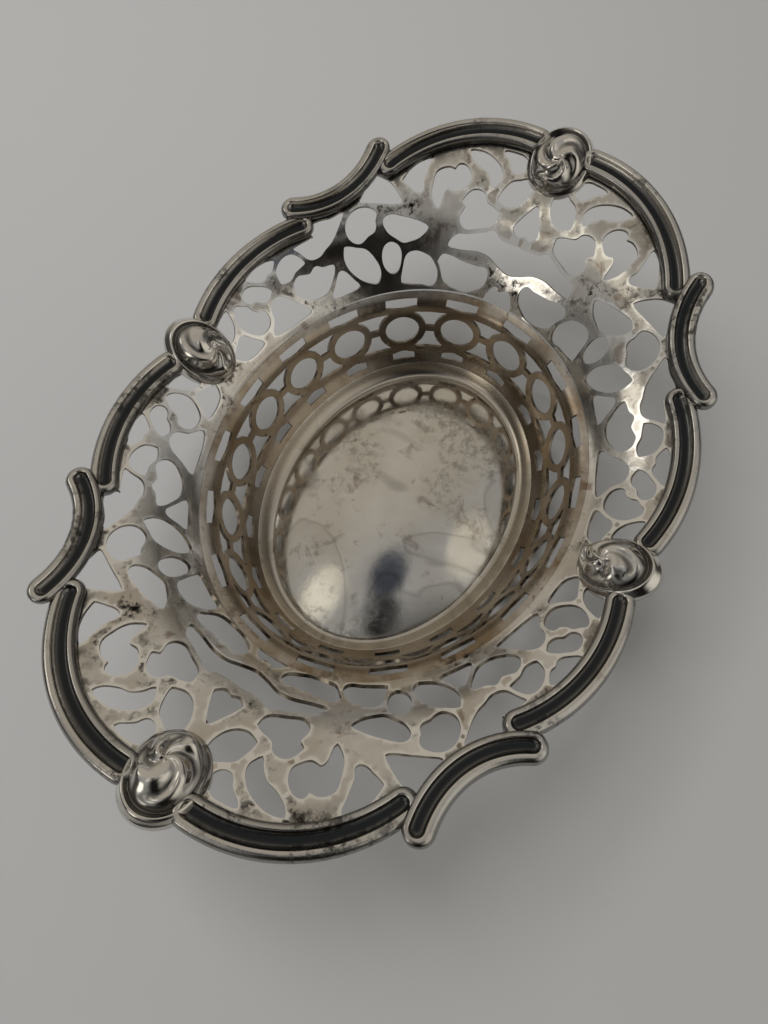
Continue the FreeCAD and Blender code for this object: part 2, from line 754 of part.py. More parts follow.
def check(document, parts):
    document.recompute()
    for item in document.Objects:
        failed = {"Invalid", "Error"} & set(item.State)
        if failed:
            raise RuntimeError("%s is %s" % (item.Name, ", ".join(failed)))
    for part in parts:
        if part.Shape.isNull() or not part.Shape.isValid() or len(part.Shape.Solids) != 1:
            raise RuntimeError("%s has no single valid solid" % part.Name)


def main():
    document = FreeCAD.newDocument("silver_basket")
    parts = build(document)
    for part in parts:
        part.Label = part.Name
    check(document, parts)
    os.makedirs("parts", exist_ok=True)
    for part in parts:
        part.Shape.exportStep("parts/%s.step" % part.Label)
        box = part.Shape.BoundBox
        print("%s: %.1f mm3, %d faces, x %.1f to %.1f, y %.1f to %.1f, z %.1f to %.1f" % (
            part.Label, part.Shape.Volume, len(part.Shape.Faces),
            box.XMin, box.XMax, box.YMin, box.YMax, box.ZMin, box.ZMax))


main()
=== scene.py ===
import math

import bpy
import numpy as np
from mathutils import Matrix, Vector
from mathutils.geometry import delaunay_2d_cdt


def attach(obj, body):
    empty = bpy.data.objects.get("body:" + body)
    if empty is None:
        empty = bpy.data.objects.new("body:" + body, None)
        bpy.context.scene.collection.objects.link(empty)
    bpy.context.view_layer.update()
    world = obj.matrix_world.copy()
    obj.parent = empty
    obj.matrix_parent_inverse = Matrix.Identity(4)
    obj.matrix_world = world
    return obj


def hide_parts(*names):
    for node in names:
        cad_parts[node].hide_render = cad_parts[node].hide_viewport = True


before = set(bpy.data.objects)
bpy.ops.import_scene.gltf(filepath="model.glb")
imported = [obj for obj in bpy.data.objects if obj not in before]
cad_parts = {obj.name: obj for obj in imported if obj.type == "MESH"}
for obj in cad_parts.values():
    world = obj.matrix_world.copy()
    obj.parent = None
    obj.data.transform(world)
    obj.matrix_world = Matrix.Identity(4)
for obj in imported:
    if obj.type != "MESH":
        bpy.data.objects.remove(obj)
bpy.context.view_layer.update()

# Sizes in millimetres, as the basket was measured; meshes are written in metres
MM = 0.001
BOSS_REACH = 80.0
CREASE_REACH = 52.0
CREASE_SPREAD = 43.9
SHEET_THICKNESS = 0.9
EDGE_ROUNDING = 0.3
EDGE_ANGLE = 50.0
EDGE_SEGMENTS = 3
MIRRORS = ((1, 1), (-1, 1), (-1, -1), (1, -1))

# Camera read from the photograph: place and aim, roll in degrees, and the focal length in
# pixels of a frame as wide as the photograph
FRAME_WIDTH = 768
CAMERA_PLACE = Vector((-54.45, -33.13, 169.18))
CAMERA_AIM = Vector((-10.47, -2.86, 20.0))
CAMERA_ROLL = -4.444
CAMERA_FOCAL_PIXELS = 669.4
SENSOR_WIDTH = 36.0
NEAREST_VIEW = 10.0

# Flange rows from the crease outwards: distance, height of the short ends, lift of the long
# ends at the boss reach
FLANGE_ROWS = (
    (-1.4, 23.0, 0.0),
    (0.0, 23.15, 1.4),
    (0.8, 23.4, 4.6),
    (2.4, 24.6, 8.4),
    (4.8, 26.6, 10.2),
    (8.0, 29.1, 11.8),
    (12.0, 31.4, 12.5),
    (18.7, 33.15, 12.93),
    (31.1, 33.8, 13.0),
)

# Mesh points of the flange, in rows outwards from the crease that are closer where it bends
POINT_PITCH = 1.3
BEND_PITCH_SHARE = 0.55
FLAT_PITCH_SHARE = 0.9
BEND_END = 8.0
FIRST_ROW = 0.7
LAST_ROW = 31.0
ROW_POINTS = 76
POINT_CLEARANCE = 0.45
QUARTER_WELD = 0.02

# Darkening of the flange beside and under its border bars: its reach, the band where it fades and its
# strength
BORDER_DARK_REACH = 5.4
BORDER_DARK_FADE = 2.6
BORDER_DARK_SHARE = 0.7

# Wall profile from the well up to the crease: long half axis, short half axis, height
WALL_PROFILE = (
    (42.6, 33.4, 3.9),
    (44.8, 36.4, 7.0),
    (46.1, 37.9, 10.0),
    (47.0, 38.9, 13.4),
    (47.7, 39.9, 18.0),
    (48.7, 41.0, 20.8),
    (50.2, 42.3, 22.2),
    (CREASE_REACH, CREASE_SPREAD, 23.1),
)

# Rings of the wall about their own centre, the slots above and below them and the openings
# beside the links between them
RING_COUNT = 18
RING_HEIGHT = 13.4
RING_HOLE = 4.55
RING_STROKE = 1.9
SLOT_HALF = 3.9
SLOT_END = 9.8
LOW_SLOT_HALF = 3.3
LOW_SLOT_END = 9.3
SLOT_CORNER = 7.7
SLOT_BEND = 7.35
SLOT_MIDDLE = 7.05
SLOT_CORNER_ANGLE = 40.0
LINK_HALF = 0.9
LINK_END = 6.0
LINK_INSET = 4.15
RING_CLEARANCE = 0.35
RING_WELD = 0.03

# Tarnish of the wall with painted shade, darker below its top: its top, the band where it
# fades and its strength
WALL_SHADE_TOP = 23.6
WALL_SHADE_FADE = 2.0
WALL_SHADE_SHARE = 0.75

# Well profile from the gallery down to the foot and up the dome
WELL_PROFILE = (
    WALL_PROFILE[0],
    (42.0, 32.5, 2.75),
    (41.4, 31.6, 1.85),
    (40.9, 30.9, 1.3),
    (40.4, 30.3, 1.02),
    (40.0, 29.8, 0.98),
    (39.7, 29.5, 1.12),
    (39.4, 29.2, 1.22),
)
DOME_HEIGHT = 4.7
DOME_TOP_SHARE = 0.02
COVE_SHADE_SHARE = 0.85
COVE_SHADE_STRETCH = 1.15

# Studio: the room's grey, then zones of it by direction, inner and outer angle in degrees and
# colour, each blended over those before it, one soft lamp and half the floor's side, with
# lengths in metres and power in watts
ROOM_COLOUR = (0.05, 0.048, 0.045, 1.0)
ROOM_ZONES = (
    ((0.0, 0.0, 1.0), 42.0, 82.0, (0.33, 0.325, 0.315, 1.0)),
    ((0.55, 0.50, 0.55), 22.0, 60.0, (0.40, 0.37, 0.32, 1.0)),
    ((-0.47, -0.62, 0.58), 20.0, 42.0, (0.010, 0.009, 0.008, 1.0)),
    ((-0.03, -0.05, 1.0), 4.0, 9.0, (0.05, 0.055, 0.07, 1.0)),
    ((-0.215, -0.16, 0.96), 3.0, 9.0, (0.02, 0.02, 0.02, 1.0)),
    ((-0.24, 0.28, 0.93), 5.0, 9.0, (0.80, 0.76, 0.66, 1.0)),
    ((-0.56, 0.18, 0.81), 3.0, 8.0, (0.85, 0.81, 0.74, 1.0)),
    ((-0.88, 0.32, 0.36), 6.0, 14.0, (1.5, 1.42, 1.28, 1.0)),
    ((0.27, -0.42, 0.87), 6.0, 10.0, (0.62, 0.58, 0.50, 1.0)),
    ((-0.15, 0.80, 0.58), 6.0, 13.0, (1.3, 1.25, 1.15, 1.0)),
    ((0.10, -0.88, 0.42), 6.0, 38.0, (0.66, 0.63, 0.57, 1.0)),
)
LAMP_DIRECTION = (0.05, 0.42, 0.90)
LAMP_DISTANCE = 0.75
LAMP_SIZE = 0.45
LAMP_POWER = 3.4
FLOOR_HALF = 4.0

# Border bars in the first quadrant, each an arc through three points on the plan
LONG_ARC = ((62.0, 37.2), (75.2, 25.4), (80.4, 7.0))
SHORT_ARC = ((7.4, 57.0), (24.0, 57.1), (39.2, 49.4))
BRACKET = ((41.6, 53.2), (49.4, 44.6), (64.0, 41.4))
ARC_LIFT = 1.8
BRACKET_LIFT = 2.4
BAR_TILT_LIMIT = 0.9
BAR_TILT_SHARE = 0.6

# Section of a bar: its groove, then the roll beside it, which turns through a share of a half
# turn and falls away, slim on the inner side and thick on the outer side
GROOVE_HALF = 1.4
GROOVE_DEPTH = 0.95
ROLL_TURN_SHARE = 0.8
ROLL_RISE = 0.5
OUTER_RISE_SHARE = 1.25
INNER_ROLL = 0.6
OUTER_ROLL = 1.1
INNER_FALL = 0.35
OUTER_FALL = 1.1
INNER_FALL_POWER = 2
OUTER_FALL_POWER = 2.2

# Darkness of a bar: how much the oxide in its groove loses towards the lip, and how much its
# roll gains beyond it, tarnish with painted shade
GROOVE_POWER = 4
GROOVE_SHADE_SHARE = 0.95
ROLL_SHADE_SHARE = 0.7
ROLL_SHADE_POWER = 1.6

# Edge of a bar below its roll: step and drop of the inner side, step and drop of the outer
# side, and darkness, which is painted shade under the roll
BAR_EDGE_ROWS = (
    (0.12, 0.5, 0.20, 0.7, 0.65),
    (0.10, 1.1, 0.15, 1.5, 0.8),
    (-0.15, 1.7, -0.20, 2.1, 0.95),
    (-0.80, 2.0, -1.00, 2.4, 1.0),
)

# Bosses: node, centre on the plan, way outwards, half length outwards, half width, height
# and the number that seeds the lumps of the casting
BOSSES = (
    ("long_boss_1", (78.9, 0.0), (1, 0), 8.5, 7.6, 4.7, 11),
    ("long_boss_2", (-78.9, 0.0), (-1, 0), 8.5, 7.6, 4.7, 23),
    ("short_boss_1", (0.0, 54.5), (0, 1), 9.0, 7.2, 4.9, 37),
    ("short_boss_2", (0.0, -54.5), (0, -1), 9.0, 7.2, 4.9, 41),
)
BOSS_SINK = 0.3
SKIRT_DROPS = (0.7, 1.5, 2.4, 3.0)
SKIRT_SHARES = (1.02, 1.01, 0.94, 0.78)

# Casting of a boss on a unit oval: a low base, a hood on the outer side, a domed core, a bead
# on the inner side, ridges wound round the core and small lumps
BASE_SHARE = 0.40
BASE_SLOPE_SHARE = 0.97
HOOD_SHARE = 0.26
HOOD_PLACE_SHARE = 0.87
HOOD_SHARPNESS = 2.2
HOOD_BIAS = 0.6
LINE_WIDTH_SHARE = 0.09
CORE_SHARE = 0.74
CORE_SHIFT_SHARE = 0.10
CORE_REACH_SHARE = 0.82
CORE_SPREAD_SHARE = 0.80
GROOVE_PLACE_SHARE = 0.98
GROOVE_INNER_SHARE = 0.45
BEAD_SHARE = 0.34
BEAD_PLACE_SHARES = (-0.82, 0.10)
BEAD_SIZE_SHARES = (0.14, 0.30)
WINDING_PLACE_SHARES = (-0.22, -0.12)
RIDGE_COUNT = 4
RIDGE_TWIST = 7.5
RIDGE_SHARE = 0.105
RIDGE_START = 2.2
RIDGE_END = 3.2
LUMP_COUNT = 14
LUMP_REACH_SHARE = 0.62
LUMP_HEIGHT_SHARE = 0.07
LUMP_WIDTH_SHARES = (0.08, 0.2)

# Darkness of a boss: in its groove, between its ridges and down its skirt
BOSS_GROOVE_SHADE_SHARE = 0.9
BOSS_RIDGE_SHADE_SHARE = 0.75
RIDGE_SHADE_SLOPE = 2.2
RIDGE_SHADE_START = 1.1
BOSS_DARKEST_SHARE = 0.95
SKIRT_SHADE_SHARE = 0.15
SKIRT_SHADE_PER_DROP = 0.2

# Colours of the silver and the floor
BRIGHT_METAL = (0.83, 0.81, 0.77, 1.0)
# Worn metal colours the rubbed rims, and is partly a painted highlight
WORN_HIGHLIGHT_METAL = (0.93, 0.91, 0.87, 1.0)
RUST = (0.17, 0.085, 0.04, 1.0)
FLECK_COLOUR = (0.018, 0.017, 0.016, 1.0)
TIDE_COLOUR = (0.16, 0.15, 0.13, 1.0)
FLOOR_COLOUR = (0.45, 0.452, 0.453, 1.0)
FLECK_ROUGHNESS = 0.6
SAWN_ROUGHNESS = 0.32
FLOOR_ROUGHNESS = 0.85
POLISH_RANGE = 0.16
STAIN_SHARE = 0.75
DENT_DEPTH = 0.3

# Layers of wear, and the patches of the darkening beside the border bars, each noise through a
# ramp: scale per metre, detail, roughness, distortion and the ramp's start and end
HAZE = (48.0, 6.0, 0.6, 0.0, 0.36, 0.62)
STAIN = (160.0, 5.0, 0.65, 0.6, 0.58, 0.66)
FLECKS = (520.0, 7.0, 0.72, 0.0, 0.47, 0.57)
PATCHES = (62.0, 4.0, 0.6, 0.0, 0.53, 0.63)
POLISH = (130.0, 6.0, 0.6, 0.0, 0.35, 0.75)
BORDER_DARK_PATCHES = (210.0, 6.0, 0.7, 0.0, 0.44, 0.58)

# Noise with ramps of its own, again as scale, detail, roughness and distortion, and the ramps
# as places and greys or colours
TIDE_NOISE = (17.0, 3.0, 0.5, 0.8)
DENT_NOISE = (150.0, 5.0, 0.6, 0.0)
SAWN_NOISE = (300.0, 5.0, 0.6, 0.0)
TIDE_STOPS = ((0.500, 0.0), (0.512, 1.0), (0.520, 0.35), (0.60, 0.0))
WORN_HIGHLIGHT_STOPS = ((0.0, 0.0), (0.4, 0.15), (0.75, 1.0))
# The sawn walls run from dark to mid brown: tarnish with painted shade
SAWN_STOPS = ((0.40, (0.10, 0.08, 0.06, 1.0)), (0.62, (0.42, 0.37, 0.30, 1.0)))

# Openings of one quarter of the flange on the plan, in order round each outline
OPENINGS = (
    ((59.2, 14.0), (60.0, 15.8), (62.7, 15.8), (63.3, 17.0), (65.7, 15.7), (66.0, 13.3),
     (64.7, 12.0), (64.2, 9.3), (63.8, 8.0), (62.0, 8.3), (60.3, 11.3)),
    ((59.8, 22.3), (61.3, 24.3), (64.0, 25.5), (66.3, 25.8), (68.0, 24.0), (68.3, 22.2),
     (69.7, 21.7), (69.3, 19.3), (67.0, 18.0), (65.7, 18.7), (64.5, 20.0), (64.3, 22.0),
     (63.0, 22.7), (61.0, 22.5)),
    ((73.8, 20.7), (74.3, 18.0), (73.8, 15.0), (72.3, 12.3), (70.3, 11.2), (68.3, 12.0),
     (70.0, 13.3), (71.2, 15.0), (71.7, 17.3), (72.8, 19.7)),
    ((76.5, 13.0), (76.8, 10.7), (76.7, 8.3), (75.3, 6.8), (73.7, 7.3), (73.2, 9.0),
     (74.7, 10.3)),
    ((66.7, 9.3), (68.3, 9.0), (70.7, 8.0), (71.7, 6.3), (72.5, 4.7), (71.7, 3.3),
     (69.0, 3.5), (67.0, 5.0), (66.2, 7.0)),
    ((51.9, 17.4), (52.9, 16.8), (53.5, 15.2), (53.9, 11.8), (54.5, 7.9), (54.8, 5.4),
     (53.9, 5.0), (52.1, 7.5), (51.0, 11.2), (50.6, 14.8)),
    ((45.3, 24.0), (48.6, 24.8), (50.2, 23.4), (51.0, 21.2), (51.2, 18.8), (50.6, 17.0),
     (49.4, 16.8), (47.6, 19.8)),
    ((44.9, 27.2), (45.2, 29.2), (47.0, 30.1), (48.5, 29.2), (48.9, 27.4), (47.6, 26.0),
     (45.9, 26.0)),
    ((39.7, 32.6), (39.1, 35.2), (40.0, 37.4), (41.6, 38.4), (42.8, 36.6), (43.9, 34.2),
     (43.9, 31.8), (43.0, 29.6), (41.8, 29.3), (40.8, 30.4)),
    ((44.5, 36.4), (44.2, 38.6), (45.6, 40.2), (48.2, 40.6), (50.4, 39.4), (51.6, 36.8),
     (51.4, 35.6), (50.0, 35.1), (48.7, 34.3), (47.0, 35.2)),
    ((50.4, 29.2), (50.5, 31.4), (51.5, 32.7), (52.7, 32.1), (53.8, 29.4), (54.8, 25.6),
     (55.2, 22.8), (53.4, 23.8), (51.7, 25.6), (50.7, 27.0)),
    ((52.3, 40.0), (56.0, 40.0), (59.2, 39.4), (59.0, 36.0), (57.8, 33.2), (56.6, 31.2),
     (55.8, 32.6), (54.6, 35.2)),
    ((61.3, 32.7), (64.0, 32.3), (66.3, 31.2), (68.3, 29.3), (65.3, 29.0), (62.7, 28.5),
     (61.0, 27.7), (60.5, 28.3), (60.8, 30.7)),
    ((5.9, 51.5), (6.3, 53.1), (9.1, 54.5), (11.7, 54.8), (10.2, 52.4), (8.4, 51.2),
     (6.6, 51.0)),
    ((4.6, 48.2), (7.0, 48.9), (9.7, 49.2), (11.0, 47.4), (12.0, 45.5), (8.5, 45.9),
     (5.8, 46.8)),
    ((14.3, 53.4), (12.4, 52.4), (11.4, 50.4), (11.8, 48.4), (13.4, 46.9), (15.6, 46.4),
     (17.4, 46.9), (17.8, 48.2), (16.7, 48.9), (16.0, 50.2), (16.0, 51.6), (15.0, 52.6)),
    ((17.0, 52.6), (17.8, 53.6), (19.4, 53.7), (20.9, 52.9), (22.1, 51.2), (22.8, 49.2),
     (21.2, 48.9), (19.9, 49.6), (18.9, 51.0), (17.3, 51.8)),
    ((21.4, 54.9), (24.7, 54.5), (27.2, 53.4), (28.9, 52.1), (26.6, 51.5), (25.3, 52.0),
     (24.0, 51.8), (22.8, 52.4)),
    ((15.9, 44.3), (18.6, 45.5), (20.2, 47.2), (22.2, 47.2), (23.8, 45.8), (24.9, 42.8),
     (26.0, 40.3), (23.0, 41.4), (19.0, 42.9)),
    ((26.3, 48.0), (27.4, 49.6), (29.5, 50.2), (31.5, 49.8), (33.0, 48.6), (33.6, 46.8),
     (33.2, 45.6), (32.0, 46.2), (30.5, 46.6), (28.5, 46.5)),
    ((27.0, 44.2), (28.0, 45.4), (29.6, 45.3), (30.8, 44.0), (32.0, 43.0), (34.0, 42.6),
     (34.9, 41.2), (37.0, 39.4), (36.0, 38.6), (33.4, 38.5), (30.4, 39.6), (28.2, 41.6)),
    ((34.4, 49.0), (34.6, 45.4), (36.8, 43.4), (38.6, 43.0), (41.0, 42.4), (47.5, 42.8),
     (45.0, 44.5), (42.0, 47.5), (40.9, 47.8), (39.4, 45.9)),
    ((32.4, 36.8), (36.8, 37.7), (37.7, 36.4), (38.0, 32.8)),
)

# Openings across the long axis: upper halves, mirrored in the axis
AXIS_OPENINGS = (
    ((62.6, 0.0), (62.2, 1.6), (63.0, 2.8), (64.8, 1.9), (68.0, 0.0)),
    ((56.4, 0.0), (56.8, 2.7), (57.5, 6.0), (57.3, 9.3), (56.2, 13.0), (55.3, 16.2),
     (56.8, 15.2), (58.0, 13.0), (59.6, 9.3), (60.5, 7.4), (59.8, 5.2), (59.8, 0.0)),
    ((51.8, 0.0), (51.9, 3.4), (53.3, 1.9), (53.1, 0.0)),
)

# The outlines above follow the clear part of each opening. They grow to the sawn edge, but
# leave a strap of metal to the next opening
OPENING_GROWTH = 0.5
LEAST_GROWTH = -0.2
LEAST_STRAP = 0.75
GROWTH_SPAN = 3
OUTLINE_STEP = 0.3
CORNER_ANGLE = 80.0

# Small distances: shortest length of a tangent, points that are one, and points on a rim
LEAST_LENGTH = 1e-6
MERGE_DISTANCE = 1e-5
RIM_DISTANCE = 1e-3
RIM_MARGIN = 0.1


# Curves and surfaces

def ellipse_parameter(x, y):
    """Parameter and distance of plan points from the crease ellipse, by Newton steps."""
    a = CREASE_REACH
    b = CREASE_SPREAD
    newton_steps = 12
    angle = np.arctan2(y * a, x * b)
    for _ in range(newton_steps):
        c = np.cos(angle)
        s = np.sin(angle)
        dot = (x - a * c) * (-a * s) + (y - b * s) * (b * c)
        slope = -(a * s) ** 2 - (b * c) ** 2 + (x - a * c) * (-a * c) + (y - b * s) * (-b * s)
        angle = angle - dot / slope
    c = np.cos(angle)
    s = np.sin(angle)
    length = np.hypot(b * c, a * s)
    distance = (x - a * c) * b * c / length + (y - b * s) * a * s / length
    return angle, distance


def smooth_table(positions, values, at):
    """Monotone cubic through a table, for heights that must not overshoot."""
    positions = np.asarray(positions, float)
    values = np.asarray(values, float)
    gaps = np.diff(positions)
    slopes = np.diff(values) / gaps
    tangents = np.empty(len(positions))
    tangents[0] = slopes[0]
    tangents[-1] = slopes[-1]
    for k in range(1, len(positions) - 1):
        if slopes[k - 1] * slopes[k] <= 0:
            tangents[k] = 0.0
        else:
            w1 = 2 * gaps[k] + gaps[k - 1]
            w2 = gaps[k] + 2 * gaps[k - 1]
            tangents[k] = (w1 + w2) / (w1 / slopes[k - 1] + w2 / slopes[k])
    at = np.clip(np.asarray(at, float), positions[0], positions[-1])
    span = np.clip(np.searchsorted(positions, at, side="right") - 1, 0, len(gaps) - 1)
    t = (at - positions[span]) / gaps[span]
    left = (1 + 2 * t) * (1 - t) ** 2 * values[span] + t * (1 - t) ** 2 * gaps[span] * tangents[span]
    right = t * t * (3 - 2 * t) * values[span + 1] - t * t * (1 - t) * gaps[span] * tangents[span + 1]
    return left + right


def flange_height(x, y):
    """Height of the flange's upper surface over plan points."""
    x = np.asarray(x, float)
    y = np.asarray(y, float)
    distances = [row[0] for row in FLANGE_ROWS]
    distance = ellipse_parameter(np.abs(x), np.abs(y))[1]
    level = smooth_table(distances, [row[1] for row in FLANGE_ROWS], distance)
    lift = smooth_table(distances, [row[2] for row in FLANGE_ROWS], distance)
    return level + lift * (x / BOSS_REACH) ** 2


def circle_through(points):
    """Centre, radius, start angle and turn of the circle through three plan points."""
    (ax, ay), (bx, by), (cx, cy) = points
    d = 2 * (ax * (by - cy) + bx * (cy - ay) + cx * (ay - by))
    a2 = ax * ax + ay * ay
    b2 = bx * bx + by * by
    c2 = cx * cx + cy * cy
    ux = (a2 * (by - cy) + b2 * (cy - ay) + c2 * (ay - by)) / d
    uy = (a2 * (cx - bx) + b2 * (ax - cx) + c2 * (bx - ax)) / d
    start = math.atan2(ay - uy, ax - ux)
    turn = math.atan2(cy - uy, cx - ux) - start
    middle = math.atan2(by - uy, bx - ux) - start
    turn = math.remainder(turn, 2 * math.pi)
    middle = math.remainder(middle, 2 * math.pi)
    if turn * middle < 0:
        turn += math.copysign(2 * math.pi, middle)
    return ux, uy, math.hypot(ax - ux, ay - uy), start, turn


def arc_points(points, count):
    ux, uy, radius, start, turn = circle_through(points)
    angles = [start + turn * k / count for k in range(count + 1)]
    return [(ux + radius * math.cos(a), uy + radius * math.sin(a)) for a in angles]


def rounded_outline(points, sharp=CORNER_ANGLE):
    """Closed outline through the points: cornered where it turns by more than sharp."""
    points = [np.array(point, float) for point in points]
    count = len(points)
    tangents = []
    corners = []
    for k in range(count):
        before = points[k] - points[k - 1]
        after = points[(k + 1) % count] - points[k]
        cosine = before @ after / (np.linalg.norm(before) * np.linalg.norm(after))
        corners.append(math.degrees(math.acos(max(-1.0, min(1.0, cosine)))) > sharp)
        unit = before / np.linalg.norm(before) + after / np.linalg.norm(after)
        length = np.linalg.norm(unit)
        tangents.append(unit / length if length > LEAST_LENGTH else before)
    outline = []
    for k in range(count):
        start = points[k]
        finish = points[(k + 1) % count]
        span = np.linalg.norm(finish - start)
        chord = (finish - start) / span
        leave = chord if corners[k] else tangents[k]
        arrive = chord if corners[(k + 1) % count] else tangents[(k + 1) % count]
        steps = max(2, int(math.ceil(span / OUTLINE_STEP)))
        for j in range(steps):
            t = j / steps
            outline.append(tuple(
                start * (1 + 2 * t) * (1 - t) ** 2
                + leave * span * t * (1 - t) ** 2
                + finish * t * t * (3 - 2 * t)
                - arrive * span * t * t * (1 - t)))
    return outline


def grown(outline, amounts):
    """A closed outline moved outwards by an amount at each of its points."""
    points = np.asarray(outline)
    along = np.roll(points, -1, axis=0) - np.roll(points, 1, axis=0)
    along /= np.linalg.norm(along, axis=1)[:, None]
    following = np.roll(points, -1, axis=0)
    area = (points[:, 0] * following[:, 1] - following[:, 0] * points[:, 1]).sum()
    turned = np.column_stack([along[:, 1], -along[:, 0]]) * math.copysign(1.0, area)
    return points + turned * np.asarray(amounts)[:, None]


def opened(outlines):
    """Every opening grown to its sawn edge, less where the strap beside it is thin."""
    result = []
    shifts = range(-GROWTH_SPAN, GROWTH_SPAN + 1)
    for index, outline in enumerate(outlines):
        others = np.vstack([other for k, other in enumerate(outlines) if k != index])
        room = (outline_distance(np.asarray(outline), others) - LEAST_STRAP) / 2
        amounts = np.clip(room, LEAST_GROWTH, OPENING_GROWTH)
        amounts = sum(np.roll(amounts, shift) for shift in shifts) / len(shifts)
        result.append([tuple(point) for point in grown(outline, amounts)])
    return result


def inside(points, outline):
    """Which of the points lie inside a closed outline."""
    x = points[:, 0]
    y = points[:, 1]
    result = np.zeros(len(points), bool)
    corners = np.asarray(outline)
    following = np.roll(corners, -1, axis=0)
    for (x1, y1), (x2, y2) in zip(corners, following):
        if y1 == y2:
            continue
        crosses = (y1 > y) != (y2 > y)
        result ^= crosses & (x < (x2 - x1) * (y - y1) / (y2 - y1) + x1)
    return result


def outline_distance(points, outline):
    """Smallest distance of each point from the corners of a closed outline."""
    corners = np.asarray(outline)
    return np.sqrt(((points[:, None, :] - corners[None, :, :]) ** 2).sum(axis=2)).min(axis=1)


def near_outline(points, outline, margin=0.0):
    """Which of the points lie in an outline's bounding box, widened by a margin."""
    corners = np.asarray(outline)
    lowest = corners.min(axis=0) - margin
    highest = corners.max(axis=0) + margin
    return np.all((points > lowest) & (points < highest), axis=1)


def pierced_plan(border, openings, seeds, clearance):
    """Triangulate the plan inside the border and outside the openings, with seed points."""
    seeds = np.asarray(seeds, float)
    keep = inside(seeds, border) & (outline_distance(seeds, border) > clearance)
    for opening in openings:
        near = np.nonzero(near_outline(seeds, opening, clearance) & keep)[0]
        chosen = seeds[near]
        bad = inside(chosen, opening) | (outline_distance(chosen, opening) < clearance)
        keep[near[bad]] = False
    vertices = [Vector(point) for point in seeds[keep]]
    edges = []
    for outline in [border] + list(openings):
        first = len(vertices)
        vertices.extend(Vector(point) for point in outline)
        count = len(outline)
        edges.extend((first + k, first + (k + 1) % count) for k in range(count))
    points, _, faces, _, _, _ = delaunay_2d_cdt(vertices, edges, [], 0, MERGE_DISTANCE)
    points = np.array([tuple(point) for point in points])
    faces = np.array([tuple(face) for face in faces])
    middles = points[faces].mean(axis=1)
    keep_faces = inside(middles, border)
    for opening in openings:
        near = np.nonzero(near_outline(middles, opening) & keep_faces)[0]
        keep_faces[near[inside(middles[near], opening)]] = False
    return points, faces[keep_faces]


# Mesh helpers

def rim_values(points, outlines):
    """One on the sawn outlines and nought elsewhere, so a rim fades over one face."""
    values = np.zeros(len(points))
    for outline in outlines:
        near = np.nonzero(near_outline(points, outline, RIM_MARGIN))[0]
        values[near[outline_distance(points[near], outline) < RIM_DISTANCE]] = 1.0
    return values


def mesh_object(name, vertices, faces, attributes=None):
    """Mesh from millimetre vertices, smooth shaded, with float attributes on its points."""
    mesh = bpy.data.meshes.new(name)
    mesh.from_pydata([tuple(v) for v in np.asarray(vertices) * MM], [], [list(f) for f in faces])
    mesh.update()
    for polygon in mesh.polygons:
        polygon.use_smooth = True
    for key, values in (attributes or {}).items():
        layer = mesh.attributes.new(key, "FLOAT", "POINT")
        layer.data.foreach_set("value", np.asarray(values, float))
    result = bpy.data.objects.new(name, mesh)
    bpy.context.scene.collection.objects.link(result)
    return result


def grid_faces(rows, columns):
    """Four-cornered faces between rows of points that run round and close."""
    faces = []
    for i in range(rows - 1):
        low = i * columns
        high = low + columns
        for j in range(columns):
            k = (j + 1) % columns
            faces.append((low + j, low + k, high + k, high + j))
    return faces


def thicken(piece):
    """Give a skin its sheet thickness, behind the surface as modelled."""
    solidify = piece.modifiers.new("sheet", "SOLIDIFY")
    solidify.thickness = SHEET_THICKNESS * MM
    solidify.offset = -1.0
    return solidify


def thicken_pierced(piece, weld_distance):
    """Join the parts of a pierced skin, thicken it and soften its sawn edges.

    The sawn walls take the second material."""
    weld = piece.modifiers.new("weld parts", "WELD")
    weld.merge_threshold = weld_distance * MM
    solidify = thicken(piece)
    solidify.use_quality_normals = True
    solidify.material_offset_rim = 1
    bevel = piece.modifiers.new("sawn edge", "BEVEL")
    bevel.width = EDGE_ROUNDING * MM
    bevel.segments = EDGE_SEGMENTS
    bevel.material = 0
    bevel.limit_method = "ANGLE"
    bevel.angle_limit = math.radians(EDGE_ANGLE)
    bevel.harden_normals = True


def finish_piece(piece, materials, slot_name, *nodes):
    for material in materials:
        piece.data.materials.append(material)
    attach(piece, "root")
    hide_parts(*nodes)


# Materials

def new_material(name):
    """Material with its node tree and its shader."""
    material = bpy.data.materials.new(name)
    material.use_nodes = True
    tree = material.node_tree
    return material, tree, tree.nodes["Principled BSDF"]


def grey(value):
    return (value, value, value, 1.0)


def attribute(tree, name):
    item = tree.nodes.new("ShaderNodeAttribute")
    item.attribute_name = name
    return item.outputs["Fac"]


def noise(tree, scale, detail, roughness, distortion):
    coordinates = tree.nodes.new("ShaderNodeTexCoord")
    item = tree.nodes.new("ShaderNodeTexNoise")
    item.inputs["Scale"].default_value = scale
    item.inputs["Detail"].default_value = detail
    item.inputs["Roughness"].default_value = roughness
    item.inputs["Distortion"].default_value = distortion
    tree.links.new(coordinates.outputs["Object"], item.inputs["Vector"])
    return item.outputs["Fac"]


def ramp(tree, source, stops):
    """Colour ramp over a source; a stop is a place and a colour."""
    item = tree.nodes.new("ShaderNodeValToRGB")
    elements = item.color_ramp.elements
    while len(elements) < len(stops):
        elements.new(0.5)
    for element, (position, colour) in zip(elements, stops):
        element.position = position
        element.color = colour
    tree.links.new(source, item.inputs["Fac"])
    return item.outputs["Color"]


def layer(tree, values, low, high):
    """One layer of wear, as noise through a ramp from a low grey to a high one."""
    scale, detail, roughness, distortion, start, finish = values
    source = noise(tree, scale, detail, roughness, distortion)
    return ramp(tree, source, ((start, grey(low)), (finish, grey(high))))


